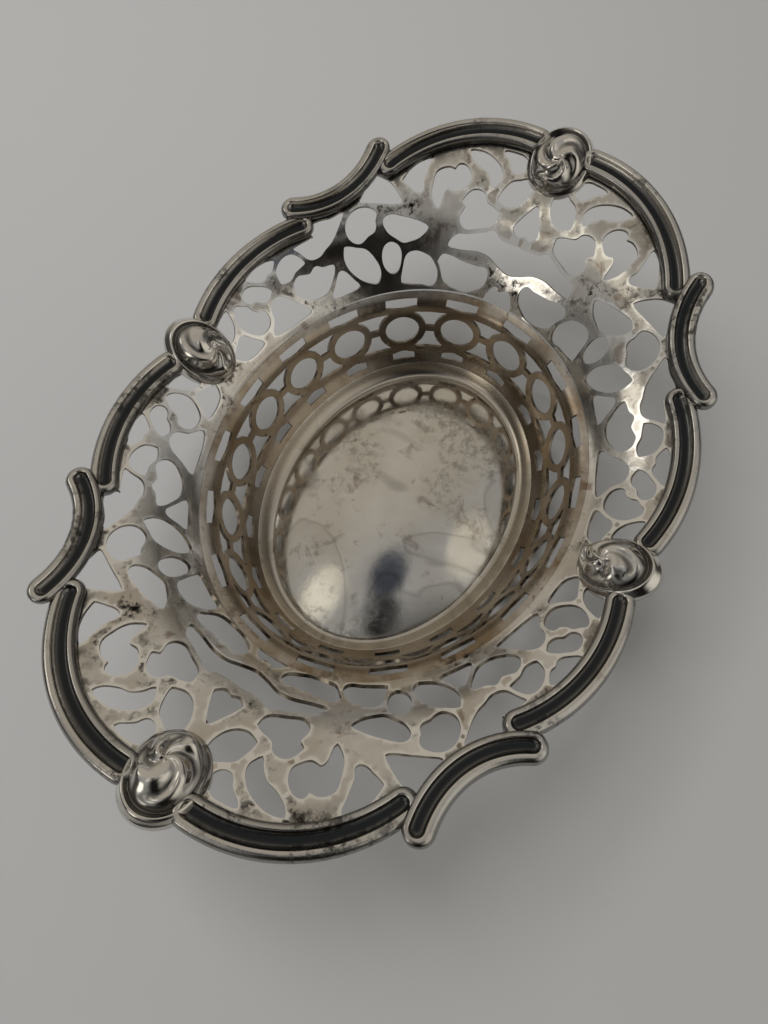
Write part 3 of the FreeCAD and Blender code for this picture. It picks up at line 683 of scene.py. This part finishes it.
def mix_colour(tree, factor, first, second, blend="MIX"):
    """Mix two colours; inputs 6 and 7 and output 2 are the node's sockets for colours."""
    item = tree.nodes.new("ShaderNodeMix")
    item.data_type = "RGBA"
    item.blend_type = blend
    sockets = (item.inputs[0], item.inputs[6], item.inputs[7])
    for socket, value in zip(sockets, (factor, first, second)):
        if isinstance(value, (float, tuple)):
            socket.default_value = value
        else:
            tree.links.new(value, socket)
    return item.outputs[2]


def silver(name, polish, tarnish, spots, warm, dents, shade, shade_roughness,
           tide=0.0, worn_highlit_rims=False):
    """Worn antique silver: bright metal, warm tarnish, dark spots and shaded recesses.

    Tide is the strength of the lines that water left, and worn rims are rubbed bright by
    wear and brightened further as a painted highlight."""
    material, tree, shader = new_material(name)
    shader.inputs["Metallic"].default_value = 1.0
    colour = mix_colour(tree, layer(tree, HAZE, 0.0, tarnish), BRIGHT_METAL, warm)
    stain = layer(tree, STAIN, 0.0, STAIN_SHARE * tarnish)
    colour = mix_colour(tree, stain, colour, RUST)
    flecks = layer(tree, FLECKS, 0.0, 1.0)
    patches = layer(tree, PATCHES, 0.0, spots)
    flecks = mix_colour(tree, 1.0, flecks, patches, "MULTIPLY")
    colour = mix_colour(tree, flecks, colour, FLECK_COLOUR)
    rough = layer(tree, POLISH, polish, polish + POLISH_RANGE)
    rough = mix_colour(tree, flecks, rough, grey(FLECK_ROUGHNESS))
    if tide:
        stops = [(place, grey(share * tide)) for place, share in TIDE_STOPS]
        colour = mix_colour(tree, ramp(tree, noise(tree, *TIDE_NOISE), stops), colour, TIDE_COLOUR)
    amount = attribute(tree, "shade")
    if worn_highlit_rims:
        amount = mix_colour(tree, 1.0, amount, layer(tree, BORDER_DARK_PATCHES, 0.0, 1.0), "MULTIPLY")
    colour = mix_colour(tree, amount, colour, shade)
    rough = mix_colour(tree, amount, rough, grey(shade_roughness))
    # Rims rubbed bright by wear, and brightened further as a painted highlight
    if worn_highlit_rims:
        stops = [(place, grey(share)) for place, share in WORN_HIGHLIGHT_STOPS]
        worn = ramp(tree, attribute(tree, "rim"), stops)
        colour = mix_colour(tree, worn, colour, WORN_HIGHLIGHT_METAL)
        rough = mix_colour(tree, worn, rough, grey(polish))
    tree.links.new(colour, shader.inputs["Base Color"])
    tree.links.new(rough, shader.inputs["Roughness"])
    bump = tree.nodes.new("ShaderNodeBump")
    bump.inputs["Strength"].default_value = dents
    bump.inputs["Distance"].default_value = DENT_DEPTH * MM
    tree.links.new(noise(tree, *DENT_NOISE), bump.inputs["Height"])
    tree.links.new(bump.outputs["Normal"], shader.inputs["Normal"])
    return material


def sawn_silver():
    """Dull metal on the sawn walls of the openings: tarnished, and darkened further with painted
    shade.
    """
    material, tree, shader = new_material("sawn edge silver")
    shader.inputs["Metallic"].default_value = 1.0
    shader.inputs["Roughness"].default_value = SAWN_ROUGHNESS
    tone = ramp(tree, noise(tree, *SAWN_NOISE), SAWN_STOPS)
    tree.links.new(tone, shader.inputs["Base Color"])
    return material


def floor_material():
    material, _, shader = new_material("pale cloth floor")
    shader.inputs["Base Color"].default_value = FLOOR_COLOUR
    shader.inputs["Roughness"].default_value = FLOOR_ROUGHNESS
    return material


# Flange

def border_outline():
    """Plan outline of the sheet in the first quadrant, from the long axis to the short one."""
    steps = 24
    outline = [(LONG_ARC[2][0], 0.0)]
    for arc in (LONG_ARC, BRACKET, SHORT_ARC):
        outline.extend(reversed(arc_points(arc, steps)))
    outline.append((0.0, SHORT_ARC[0][1]))
    return outline


def crease_outline():
    """First quadrant of the crease, from the short axis back to the long one."""
    steps = 60
    angles = [math.pi / 2 * (1 - k / steps) for k in range(steps + 1)]
    return [(CREASE_REACH * math.cos(a), CREASE_SPREAD * math.sin(a)) for a in angles]


def between(start, finish, count):
    """Points that divide the way between two plan points, without its ends."""
    start = np.array(start)
    finish = np.array(finish)
    return [tuple(start + (finish - start) * share) for share in np.linspace(0, 1, count)[1:-1]]


def whole_outline(points):
    """Closed outline of an opening that lies across the long axis."""
    return rounded_outline(list(points) + [(x, -y) for x, y in reversed(points) if y > 0])


def quarter_openings():
    """Sawn outlines of one quarter; those across the long axis are cut at it."""
    count = len(OPENINGS)
    outlines = [rounded_outline(points) for points in OPENINGS]
    outlines += [whole_outline(points) for points in AXIS_OPENINGS]
    outlines = opened(outlines)
    halves = []
    for outline in outlines[count:]:
        halves.append([(x, max(y, 0.0)) for x, y in outline if y > -LEAST_LENGTH])
    return outlines[:count] + halves


def seed_points():
    """Plan points in rows that follow the crease."""
    points = []
    distance = FIRST_ROW
    while distance < LAST_ROW:
        for angle in np.linspace(0.0, math.pi / 2, ROW_POINTS):
            nx = CREASE_SPREAD * math.cos(angle)
            ny = CREASE_REACH * math.sin(angle)
            length = math.hypot(nx, ny)
            points.append((CREASE_REACH * math.cos(angle) + nx / length * distance,
                           CREASE_SPREAD * math.sin(angle) + ny / length * distance))
        distance += POINT_PITCH * (BEND_PITCH_SHARE if distance < BEND_END else FLAT_PITCH_SHARE)
    return points


def build_flange(materials):
    border = border_outline()
    crease = crease_outline()
    short_axis_steps = 20
    long_axis_steps = 40
    short_axis = between(border[-1], crease[0], short_axis_steps)
    long_axis = between(crease[-1], border[0], long_axis_steps)
    border = border + short_axis + crease + long_axis
    openings = quarter_openings()
    points, faces = pierced_plan(border, openings, seed_points(), POINT_CLEARANCE)
    plan = []
    all_faces = []
    for sx, sy in MIRRORS:
        first = len(plan)
        plan.extend((x * sx, y * sy) for x, y in points)
        for face in faces:
            order = face[::-1] if sx * sy < 0 else face
            all_faces.append([first + int(k) for k in order])
    plan = np.array(plan)
    heights = flange_height(plan[:, 0], plan[:, 1])
    rims = np.tile(rim_values(points, openings), len(MIRRORS))
    edge = outline_distance(points, border_outline())
    border_darkening = BORDER_DARK_SHARE * np.clip((BORDER_DARK_REACH - edge) / BORDER_DARK_FADE, 0.0, 1.0)
    piece = mesh_object(
        "flange_sheet", np.column_stack([plan, heights]), all_faces,
        {"rim": rims, "shade": np.tile(border_darkening, len(MIRRORS))})
    thicken_pierced(piece, QUARTER_WELD)
    finish_piece(piece, materials, "bowl_silver", "pierced_flange")


# Gallery

def profile_lengths(profile):
    points = np.array(profile)
    mean = (points[:, 0] + points[:, 1]) / 2
    steps = np.hypot(np.diff(mean), np.diff(points[:, 2]))
    return np.concatenate([[0.0], np.cumsum(steps)])


def profile_at(profile, length):
    """Half axes and height on a wall profile at lengths from its first row."""
    lengths = profile_lengths(profile)
    points = np.array(profile)
    return [smooth_table(lengths, points[:, k], length) for k in range(3)]


def ring_angles(reach, spread, shares):
    """Ellipse parameters at shares of the whole circumference."""
    steps = 3600
    angle = np.linspace(0, 2 * math.pi, steps + 1)
    x = reach * np.cos(angle)
    y = spread * np.sin(angle)
    lengths = np.concatenate([[0.0], np.cumsum(np.hypot(np.diff(x), np.diff(y)))])
    return np.interp(np.asarray(shares) * lengths[-1], lengths, angle), lengths[-1]


def gallery_module(pitch, bottom, top):
    """One ring of the gallery unrolled: border and openings about the ring's centre."""
    half = pitch / 2
    steps = 16
    rows = 20
    border = [(-half + pitch * k / steps, bottom) for k in range(steps)]
    border += [(half, bottom + (top - bottom) * k / rows) for k in range(rows)]
    border += [(half - pitch * k / steps, top) for k in range(steps)]
    border += [(-half, top - (top - bottom) * k / rows) for k in range(rows)]
    hole_steps = 60
    openings = [[(RING_HOLE * math.cos(a), RING_HOLE * math.sin(a))
                 for a in np.linspace(0, 2 * math.pi, hole_steps, endpoint=False)]]
    for direction, width, end in ((1, SLOT_HALF, SLOT_END), (-1, LOW_SLOT_HALF, LOW_SLOT_END)):
        slot = [(-width, end), (width, end), (width, SLOT_CORNER), (width / 2, SLOT_BEND),
                (0, SLOT_MIDDLE), (-width / 2, SLOT_BEND), (-width, SLOT_CORNER)]
        if direction < 0:
            slot = [(x, -y) for x, y in reversed(slot)]
        openings.append(rounded_outline(slot, SLOT_CORNER_ANGLE))
    outer = RING_HOLE + RING_STROKE
    link_steps = 8
    for side in (1, -1):
        for direction in (1, -1):
            outline = [(half, LINK_HALF)]
            for k in range(link_steps + 1):
                height = LINK_HALF + (LINK_END - LINK_HALF) * k / link_steps
                inset = half - math.sqrt(outer ** 2 - height ** 2)
                outline.append((half - min(inset, LINK_INSET), height))
            outline.append((half, LINK_END))
            openings.append([(x * side, y * direction) for x, y in outline])
    return border, openings


def build_gallery(materials):
    lengths = profile_lengths(WALL_PROFILE)
    ring_length = float(np.interp(RING_HEIGHT, [row[2] for row in WALL_PROFILE], lengths))
    reach, spread, _ = profile_at(WALL_PROFILE, ring_length)
    _, around = ring_angles(float(reach), float(spread), [0.0])
    pitch = around / RING_COUNT
    bottom = -ring_length
    top = lengths[-1] - ring_length
    border, openings = gallery_module(pitch, bottom, top)
    columns = 18
    rows = 26
    seeds = [(-pitch / 2 + pitch * (i + 0.5) / columns, bottom + (top - bottom) * (j + 0.5) / rows)
             for i in range(columns) for j in range(rows)]
    points, faces = pierced_plan(border, openings, seeds, RING_CLEARANCE)
    vertices = []
    shades = []
    all_faces = []
    for ring in range(RING_COUNT):
        first = len(points) * ring
        shares = (ring + 0.5 + points[:, 0] / pitch) / RING_COUNT
        angles, _ = ring_angles(float(reach), float(spread), shares % 1.0)
        a, b, z = profile_at(WALL_PROFILE, points[:, 1] + ring_length)
        vertices.append(np.column_stack([a * np.cos(angles), b * np.sin(angles), z]))
        # The wall darkens below its top: tarnish with painted shade
        fade = np.clip((WALL_SHADE_TOP - z) / WALL_SHADE_FADE, 0.0, 1.0)
        shades.extend(fade * WALL_SHADE_SHARE)
        all_faces.extend([[first + int(k) for k in face[::-1]] for face in faces])
    rims = np.tile(rim_values(points, openings), RING_COUNT)
    piece = mesh_object(
        "gallery_wall", np.vstack(vertices), all_faces, {"shade": shades, "rim": rims})
    thicken_pierced(piece, RING_WELD)
    finish_piece(piece, materials, "bowl_silver", "pierced_gallery")


# Well

def build_well(material):
    columns = 288
    cove_rows = 34
    dome_rows = 44
    angles = np.linspace(0, 2 * math.pi, columns, endpoint=False)
    last_length = profile_lengths(WELL_PROFILE)[-1]
    rows = []
    shades = []
    for length in np.linspace(0, last_length, cove_rows):
        a, b, z = profile_at(WELL_PROFILE, length)
        rows.append(np.column_stack([a * np.cos(angles), b * np.sin(angles), np.full(columns, z)]))
        way = min(1.0, length / last_length * COVE_SHADE_STRETCH)
        shade = math.sqrt(math.sin(math.pi * way))
        shades.extend([COVE_SHADE_SHARE * shade] * columns)
    edge_a, edge_b, edge_z = WELL_PROFILE[-1]
    for share in np.linspace(1, DOME_TOP_SHARE, dome_rows)[1:]:
        height = edge_z + DOME_HEIGHT * (1 - share ** 2)
        rows.append(np.column_stack([
            edge_a * share * np.cos(angles), edge_b * share * np.sin(angles),
            np.full(columns, height)]))
        shades.extend([0.0] * columns)
    shades.append(0.0)
    faces = grid_faces(len(rows), columns)
    centre = len(rows) * columns
    last = centre - columns
    faces += [(centre, last + k, last + (k + 1) % columns) for k in range(columns)]
    vertices = np.vstack(rows + [np.array([[0, 0, edge_z + DOME_HEIGHT]])])
    piece = mesh_object("well_dish", vertices, faces, {"shade": shades})
    thicken(piece)
    finish_piece(piece, [material], "bowl_silver", "well")


# Border bars

def bar_profile():
    """Rows of a bar's half section, from its spine: inner side, outer side and darkness.

    Each side is a distance from the spine and a height."""
    rows = []
    groove_steps = 8
    for k in range(groove_steps + 1):
        share = k / groove_steps
        rise = share ** GROOVE_POWER
        side = (GROOVE_HALF * share, -GROOVE_DEPTH * (1 - rise))
        rows.append((side, side, 1.0 - GROOVE_SHADE_SHARE * rise))
    roll_steps = 16
    for k in range(1, roll_steps + 1):
        share = k / roll_steps
        angle = math.pi * share * ROLL_TURN_SHARE
        rise = ROLL_RISE * math.sin(angle)
        inner = (GROOVE_HALF + INNER_ROLL * (1 - math.cos(angle)),
                 rise - INNER_FALL * share ** INNER_FALL_POWER)
        outer = (GROOVE_HALF + OUTER_ROLL * (1 - math.cos(angle)),
                 rise * OUTER_RISE_SHARE - OUTER_FALL * share ** OUTER_FALL_POWER)
        # The roll darkens as it falls away: tarnish with painted shade
        rows.append((inner, outer, ROLL_SHADE_SHARE * share ** ROLL_SHADE_POWER))
    # The edge below the roll is dark with painted shade
    for inner_step, inner_drop, outer_step, outer_drop, shade in BAR_EDGE_ROWS:
        rows.append(((inner[0] + inner_step, inner[1] - inner_drop),
                     (outer[0] + outer_step, outer[1] - outer_drop), shade))
    return rows


def bar_mesh(name, arc, lift, mirror, bulge):
    """Channelled bar as closed loops about its spine; bulge is 1 where it bends outwards."""
    ux, uy, radius, first, turn = circle_through(arc)
    last = first + turn
    steps = 44
    cap_steps = 16
    sign = math.copysign(1.0, turn)
    # A station is its angle on the arc, the angle of its heading and its side, 1 outside
    stations = []
    for k in range(steps + 1):
        angle = first + turn * k / steps
        stations.append((angle, angle, 1.0))
    for k in range(1, cap_steps):
        swing = math.pi * k / cap_steps
        stations.append((last, last + sign * swing, math.cos(swing)))
    for k in range(steps, -1, -1):
        angle = first + turn * k / steps
        stations.append((angle, angle + math.pi, -1.0))
    for k in range(1, cap_steps):
        swing = math.pi * k / cap_steps
        stations.append((first, first + math.pi + sign * swing, -math.cos(swing)))
    spine = np.array([(ux + radius * math.cos(a), uy + radius * math.sin(a)) for a, _, _ in stations])
    heading = np.array([(math.cos(b), math.sin(b)) for _, b, _ in stations])
    outer_share = np.array([(1 + side * bulge) / 2 for _, _, side in stations])
    spine_height = flange_height(spine[:, 0], spine[:, 1])
    vertices = []
    shades = []
    rows = bar_profile()
    for inner, outer, shade in rows:
        distance = inner[0] + (outer[0] - inner[0]) * outer_share
        height = inner[1] + (outer[1] - inner[1]) * outer_share
        plan = spine + heading * distance[:, None]
        here = flange_height(plan[:, 0], plan[:, 1])
        tilt = np.clip(here - spine_height, -BAR_TILT_LIMIT, BAR_TILT_LIMIT) * BAR_TILT_SHARE
        vertices.append(np.column_stack([plan, spine_height + lift + height + tilt]))
        shades.extend([shade] * len(stations))
    sx, sy = mirror
    vertices = np.vstack(vertices) * np.array([sx, sy, 1.0])
    columns = len(stations)
    faces = grid_faces(len(rows), columns)
    bottom = (len(rows) - 1) * columns
    faces.append([bottom + k for k in range(columns)])
    if (sx * sy < 0) == (turn < 0):
        faces = [tuple(reversed(face)) for face in faces]
    return mesh_object(name, vertices, faces, {"shade": shades})


# Bosses

def boss_relief(x, y, rng):
    """Height of the casting over its unit oval, and how dark it is; x runs outwards.

    The core is wound with ridges like a shell, and worn unevenly."""
    r = np.hypot(x, y)
    outer = 0.5 + 0.5 * np.tanh(HOOD_SHARPNESS * np.cos(np.arctan2(y, x)) + HOOD_BIAS)
    core = np.hypot((x + CORE_SHIFT_SHARE) / CORE_REACH_SHARE, y / CORE_SPREAD_SHARE)
    height = BASE_SHARE * np.sqrt(np.clip(1 - (BASE_SLOPE_SHARE * r) ** 2, 0.0, 1.0))
    height = height + HOOD_SHARE * outer * np.exp(-((r - HOOD_PLACE_SHARE) / LINE_WIDTH_SHARE) ** 2)
    height = height + CORE_SHARE * np.sqrt(np.clip(1 - core ** 2, 0.0, 1.0))
    groove = np.exp(-((core - GROOVE_PLACE_SHARE) / LINE_WIDTH_SHARE) ** 2)
    groove = groove * (GROOVE_INNER_SHARE + (1 - GROOVE_INNER_SHARE) * outer)
    bead_x, bead_y = BEAD_PLACE_SHARES
    bead_reach, bead_spread = BEAD_SIZE_SHARES
    bead = np.exp(-(((x - bead_x) / bead_reach) ** 2 + ((y - bead_y) / bead_spread) ** 2))
    height = height + BEAD_SHARE * bead
    phase = rng.uniform(0, 2 * math.pi)
    winding_x, winding_y = WINDING_PLACE_SHARES
    turn = np.arctan2(y - winding_y, x - winding_x)
    winding = np.sin(RIDGE_COUNT * turn + RIDGE_TWIST * core + phase)
    ridges = np.clip(core * RIDGE_START, 0.0, 1.0) * np.clip(RIDGE_END - RIDGE_END * core, 0.0, 1.0)
    height = height + RIDGE_SHARE * winding * ridges
    hollow = np.clip(-winding * RIDGE_SHADE_SLOPE - RIDGE_SHADE_START, 0.0, 1.0)
    dark = BOSS_GROOVE_SHADE_SHARE * groove + BOSS_RIDGE_SHADE_SHARE * hollow * ridges
    for _ in range(LUMP_COUNT):
        distance = LUMP_REACH_SHARE * math.sqrt(rng.uniform(0, 1))
        angle = rng.uniform(0, 2 * math.pi)
        size = rng.uniform(-LUMP_HEIGHT_SHARE, LUMP_HEIGHT_SHARE)
        width = rng.uniform(*LUMP_WIDTH_SHARES)
        gap = ((x + CORE_SHIFT_SHARE - distance * math.cos(angle)) ** 2
               + (y - distance * math.sin(angle)) ** 2)
        height = height + size * np.exp(-gap / width ** 2)
    return height, np.clip(dark, 0.0, BOSS_DARKEST_SHARE)


def boss_mesh(name, centre, outward, reach, width, height, seed):
    """Cast boss: a hood round a lumpy cabochon, with a bead on its inner side."""
    columns = 120
    rows = 56
    top_share = 0.015
    angles = np.linspace(0, 2 * math.pi, columns, endpoint=False)
    spread = np.linspace(top_share, 1.0, rows)[:, None]
    x = spread * np.cos(angles)
    y = spread * np.sin(angles)
    relief, dark = boss_relief(x, y, np.random.default_rng(seed))
    vertices = [np.stack([x * reach, y * width, relief * height], axis=-1).reshape(-1, 3)]
    shades = list(dark.reshape(-1))
    edge = relief[-1] * height
    for drop, share in zip(SKIRT_DROPS, SKIRT_SHARES):
        vertices.append(np.column_stack([
            np.cos(angles) * reach * share, np.sin(angles) * width * share, edge - drop]))
        shades.extend([SKIRT_SHADE_SHARE + SKIRT_SHADE_PER_DROP * drop] * columns)
    count = rows + len(SKIRT_DROPS)
    faces = grid_faces(count, columns)
    faces.append([columns - 1 - k for k in range(columns)])
    bottom = (count - 1) * columns
    faces.append([bottom + k for k in range(columns)])
    facing = math.atan2(outward[1], outward[0])
    inner = (centre[0] - outward[0] * width / 2, centre[1] - outward[1] * width / 2)
    top = float(flange_height(centre[0], centre[1]))
    slope = math.atan2(top - float(flange_height(inner[0], inner[1])), width / 2)
    turn = Matrix.Rotation(facing, 4, "Z") @ Matrix.Rotation(-slope, 4, "Y")
    vertices = np.array([tuple(turn @ Vector(v)) for v in np.vstack(vertices)])
    vertices += np.array([centre[0], centre[1], top - BOSS_SINK])
    return mesh_object(name, vertices, faces, {"shade": shades})


def build_border(bar_material, boss_material):
    for kind, arc, lift, bulge in (
            ("long_arc", LONG_ARC, ARC_LIFT, 1), ("short_arc", SHORT_ARC, ARC_LIFT, 1),
            ("bracket", BRACKET, BRACKET_LIFT, -1)):
        for index, mirror in enumerate(MIRRORS, start=1):
            piece = bar_mesh("%s_bar_%d" % (kind, index), arc, lift, mirror, bulge)
            finish_piece(piece, [bar_material], "border_silver", "%s_%d" % (kind, index))
    for boss in BOSSES:
        piece = boss_mesh(boss[0] + "_cast", *boss[1:])
        finish_piece(piece, [boss_material], "boss_silver", boss[0])


# Stage, camera and light

def build_stage():
    mesh = bpy.data.meshes.new("floor")
    corners = [(FLOOR_HALF * sx, FLOOR_HALF * sy, 0) for sx, sy in MIRRORS]
    mesh.from_pydata(corners, [], [(0, 1, 2, 3)])
    floor = bpy.data.objects.new("floor", mesh)
    bpy.context.scene.collection.objects.link(floor)
    floor.data.materials.append(floor_material())


def build_camera():
    data = bpy.data.cameras.new("camera")
    camera = bpy.data.objects.new("camera", data)
    bpy.context.scene.collection.objects.link(camera)
    data.sensor_fit = "HORIZONTAL"
    data.sensor_width = SENSOR_WIDTH
    data.lens = CAMERA_FOCAL_PIXELS / FRAME_WIDTH * SENSOR_WIDTH
    data.clip_start = NEAREST_VIEW * MM
    direction = (CAMERA_AIM - CAMERA_PLACE).normalized()
    aim = direction.to_track_quat("-Z", "Y").to_matrix().to_4x4()
    roll = Matrix.Rotation(math.radians(CAMERA_ROLL), 4, "Z")
    camera.matrix_world = Matrix.Translation(CAMERA_PLACE * MM) @ aim @ roll
    bpy.context.scene.camera = camera


def build_lamp():
    """Soft lamp that faces the basket, and isn't mirrored in the metal.

    The metal mirrors the room's bright zones in its place."""
    data = bpy.data.lights.new("lamp_main", "AREA")
    data.shape = "SQUARE"
    data.size = LAMP_SIZE
    data.energy = LAMP_POWER
    light = bpy.data.objects.new("lamp_main", data)
    bpy.context.scene.collection.objects.link(light)
    light.visible_glossy = False
    outward = Vector(LAMP_DIRECTION).normalized()
    light.matrix_world = (Matrix.Translation(outward * LAMP_DISTANCE)
                          @ outward.to_track_quat("Z", "Y").to_matrix().to_4x4())


def room_zone(tree, colour, direction, inner, outer, zone_colour):
    """Blend a colour into the room round a direction, between two angles in degrees."""
    coordinates = tree.nodes.new("ShaderNodeTexCoord")
    dot = tree.nodes.new("ShaderNodeVectorMath")
    dot.operation = "DOT_PRODUCT"
    dot.inputs[1].default_value = Vector(direction).normalized()
    tree.links.new(coordinates.outputs["Generated"], dot.inputs[0])
    span = tree.nodes.new("ShaderNodeMapRange")
    span.interpolation_type = "SMOOTHSTEP"
    span.inputs["From Min"].default_value = math.cos(math.radians(outer))
    span.inputs["From Max"].default_value = math.cos(math.radians(inner))
    tree.links.new(dot.outputs["Value"], span.inputs["Value"])
    return mix_colour(tree, span.outputs["Result"], colour, zone_colour)


def build_room():
    world = bpy.data.worlds.new("studio")
    bpy.context.scene.world = world
    world.use_nodes = True
    tree = world.node_tree
    colour = ROOM_COLOUR
    for zone in ROOM_ZONES:
        colour = room_zone(tree, colour, *zone)
    tree.links.new(colour, tree.nodes["Background"].inputs["Color"])
    bpy.context.scene.view_settings.view_transform = "Standard"


sheet_silver = silver(
    "pierced sheet silver", polish=0.12, tarnish=0.75, spots=1.0, warm=(0.50, 0.44, 0.36, 1.0),
    dents=0.35, shade=(0.06, 0.048, 0.038, 1.0), shade_roughness=0.45, worn_highlit_rims=True)
gallery_silver = silver(
    "gallery silver", polish=0.16, tarnish=1.0, spots=0.9, warm=(0.26, 0.19, 0.12, 1.0),
    dents=0.35, shade=(0.30, 0.235, 0.165, 1.0), shade_roughness=0.3)
well_silver = silver(
    "polished well silver", polish=0.06, tarnish=0.5, spots=0.28, warm=(0.60, 0.54, 0.44, 1.0),
    dents=0.10, shade=(0.46, 0.40, 0.32, 1.0), shade_roughness=0.30, tide=0.35)
bar_silver = silver(
    "channelled bar silver", polish=0.10, tarnish=0.35, spots=0.8, warm=(0.55, 0.48, 0.40, 1.0),
    dents=0.5, shade=(0.035, 0.038, 0.042, 1.0), shade_roughness=0.25)
boss_silver = silver(
    "cast boss silver", polish=0.05, tarnish=0.3, spots=0.2, warm=(0.55, 0.48, 0.40, 1.0),
    dents=0.15, shade=(0.03, 0.03, 0.03, 1.0), shade_roughness=0.25)
wall_silver = sawn_silver()

build_flange([sheet_silver, wall_silver])
build_gallery([gallery_silver, wall_silver])
build_well(well_silver)
build_border(bar_silver, boss_silver)
build_stage()
build_camera()
build_lamp()
build_room()
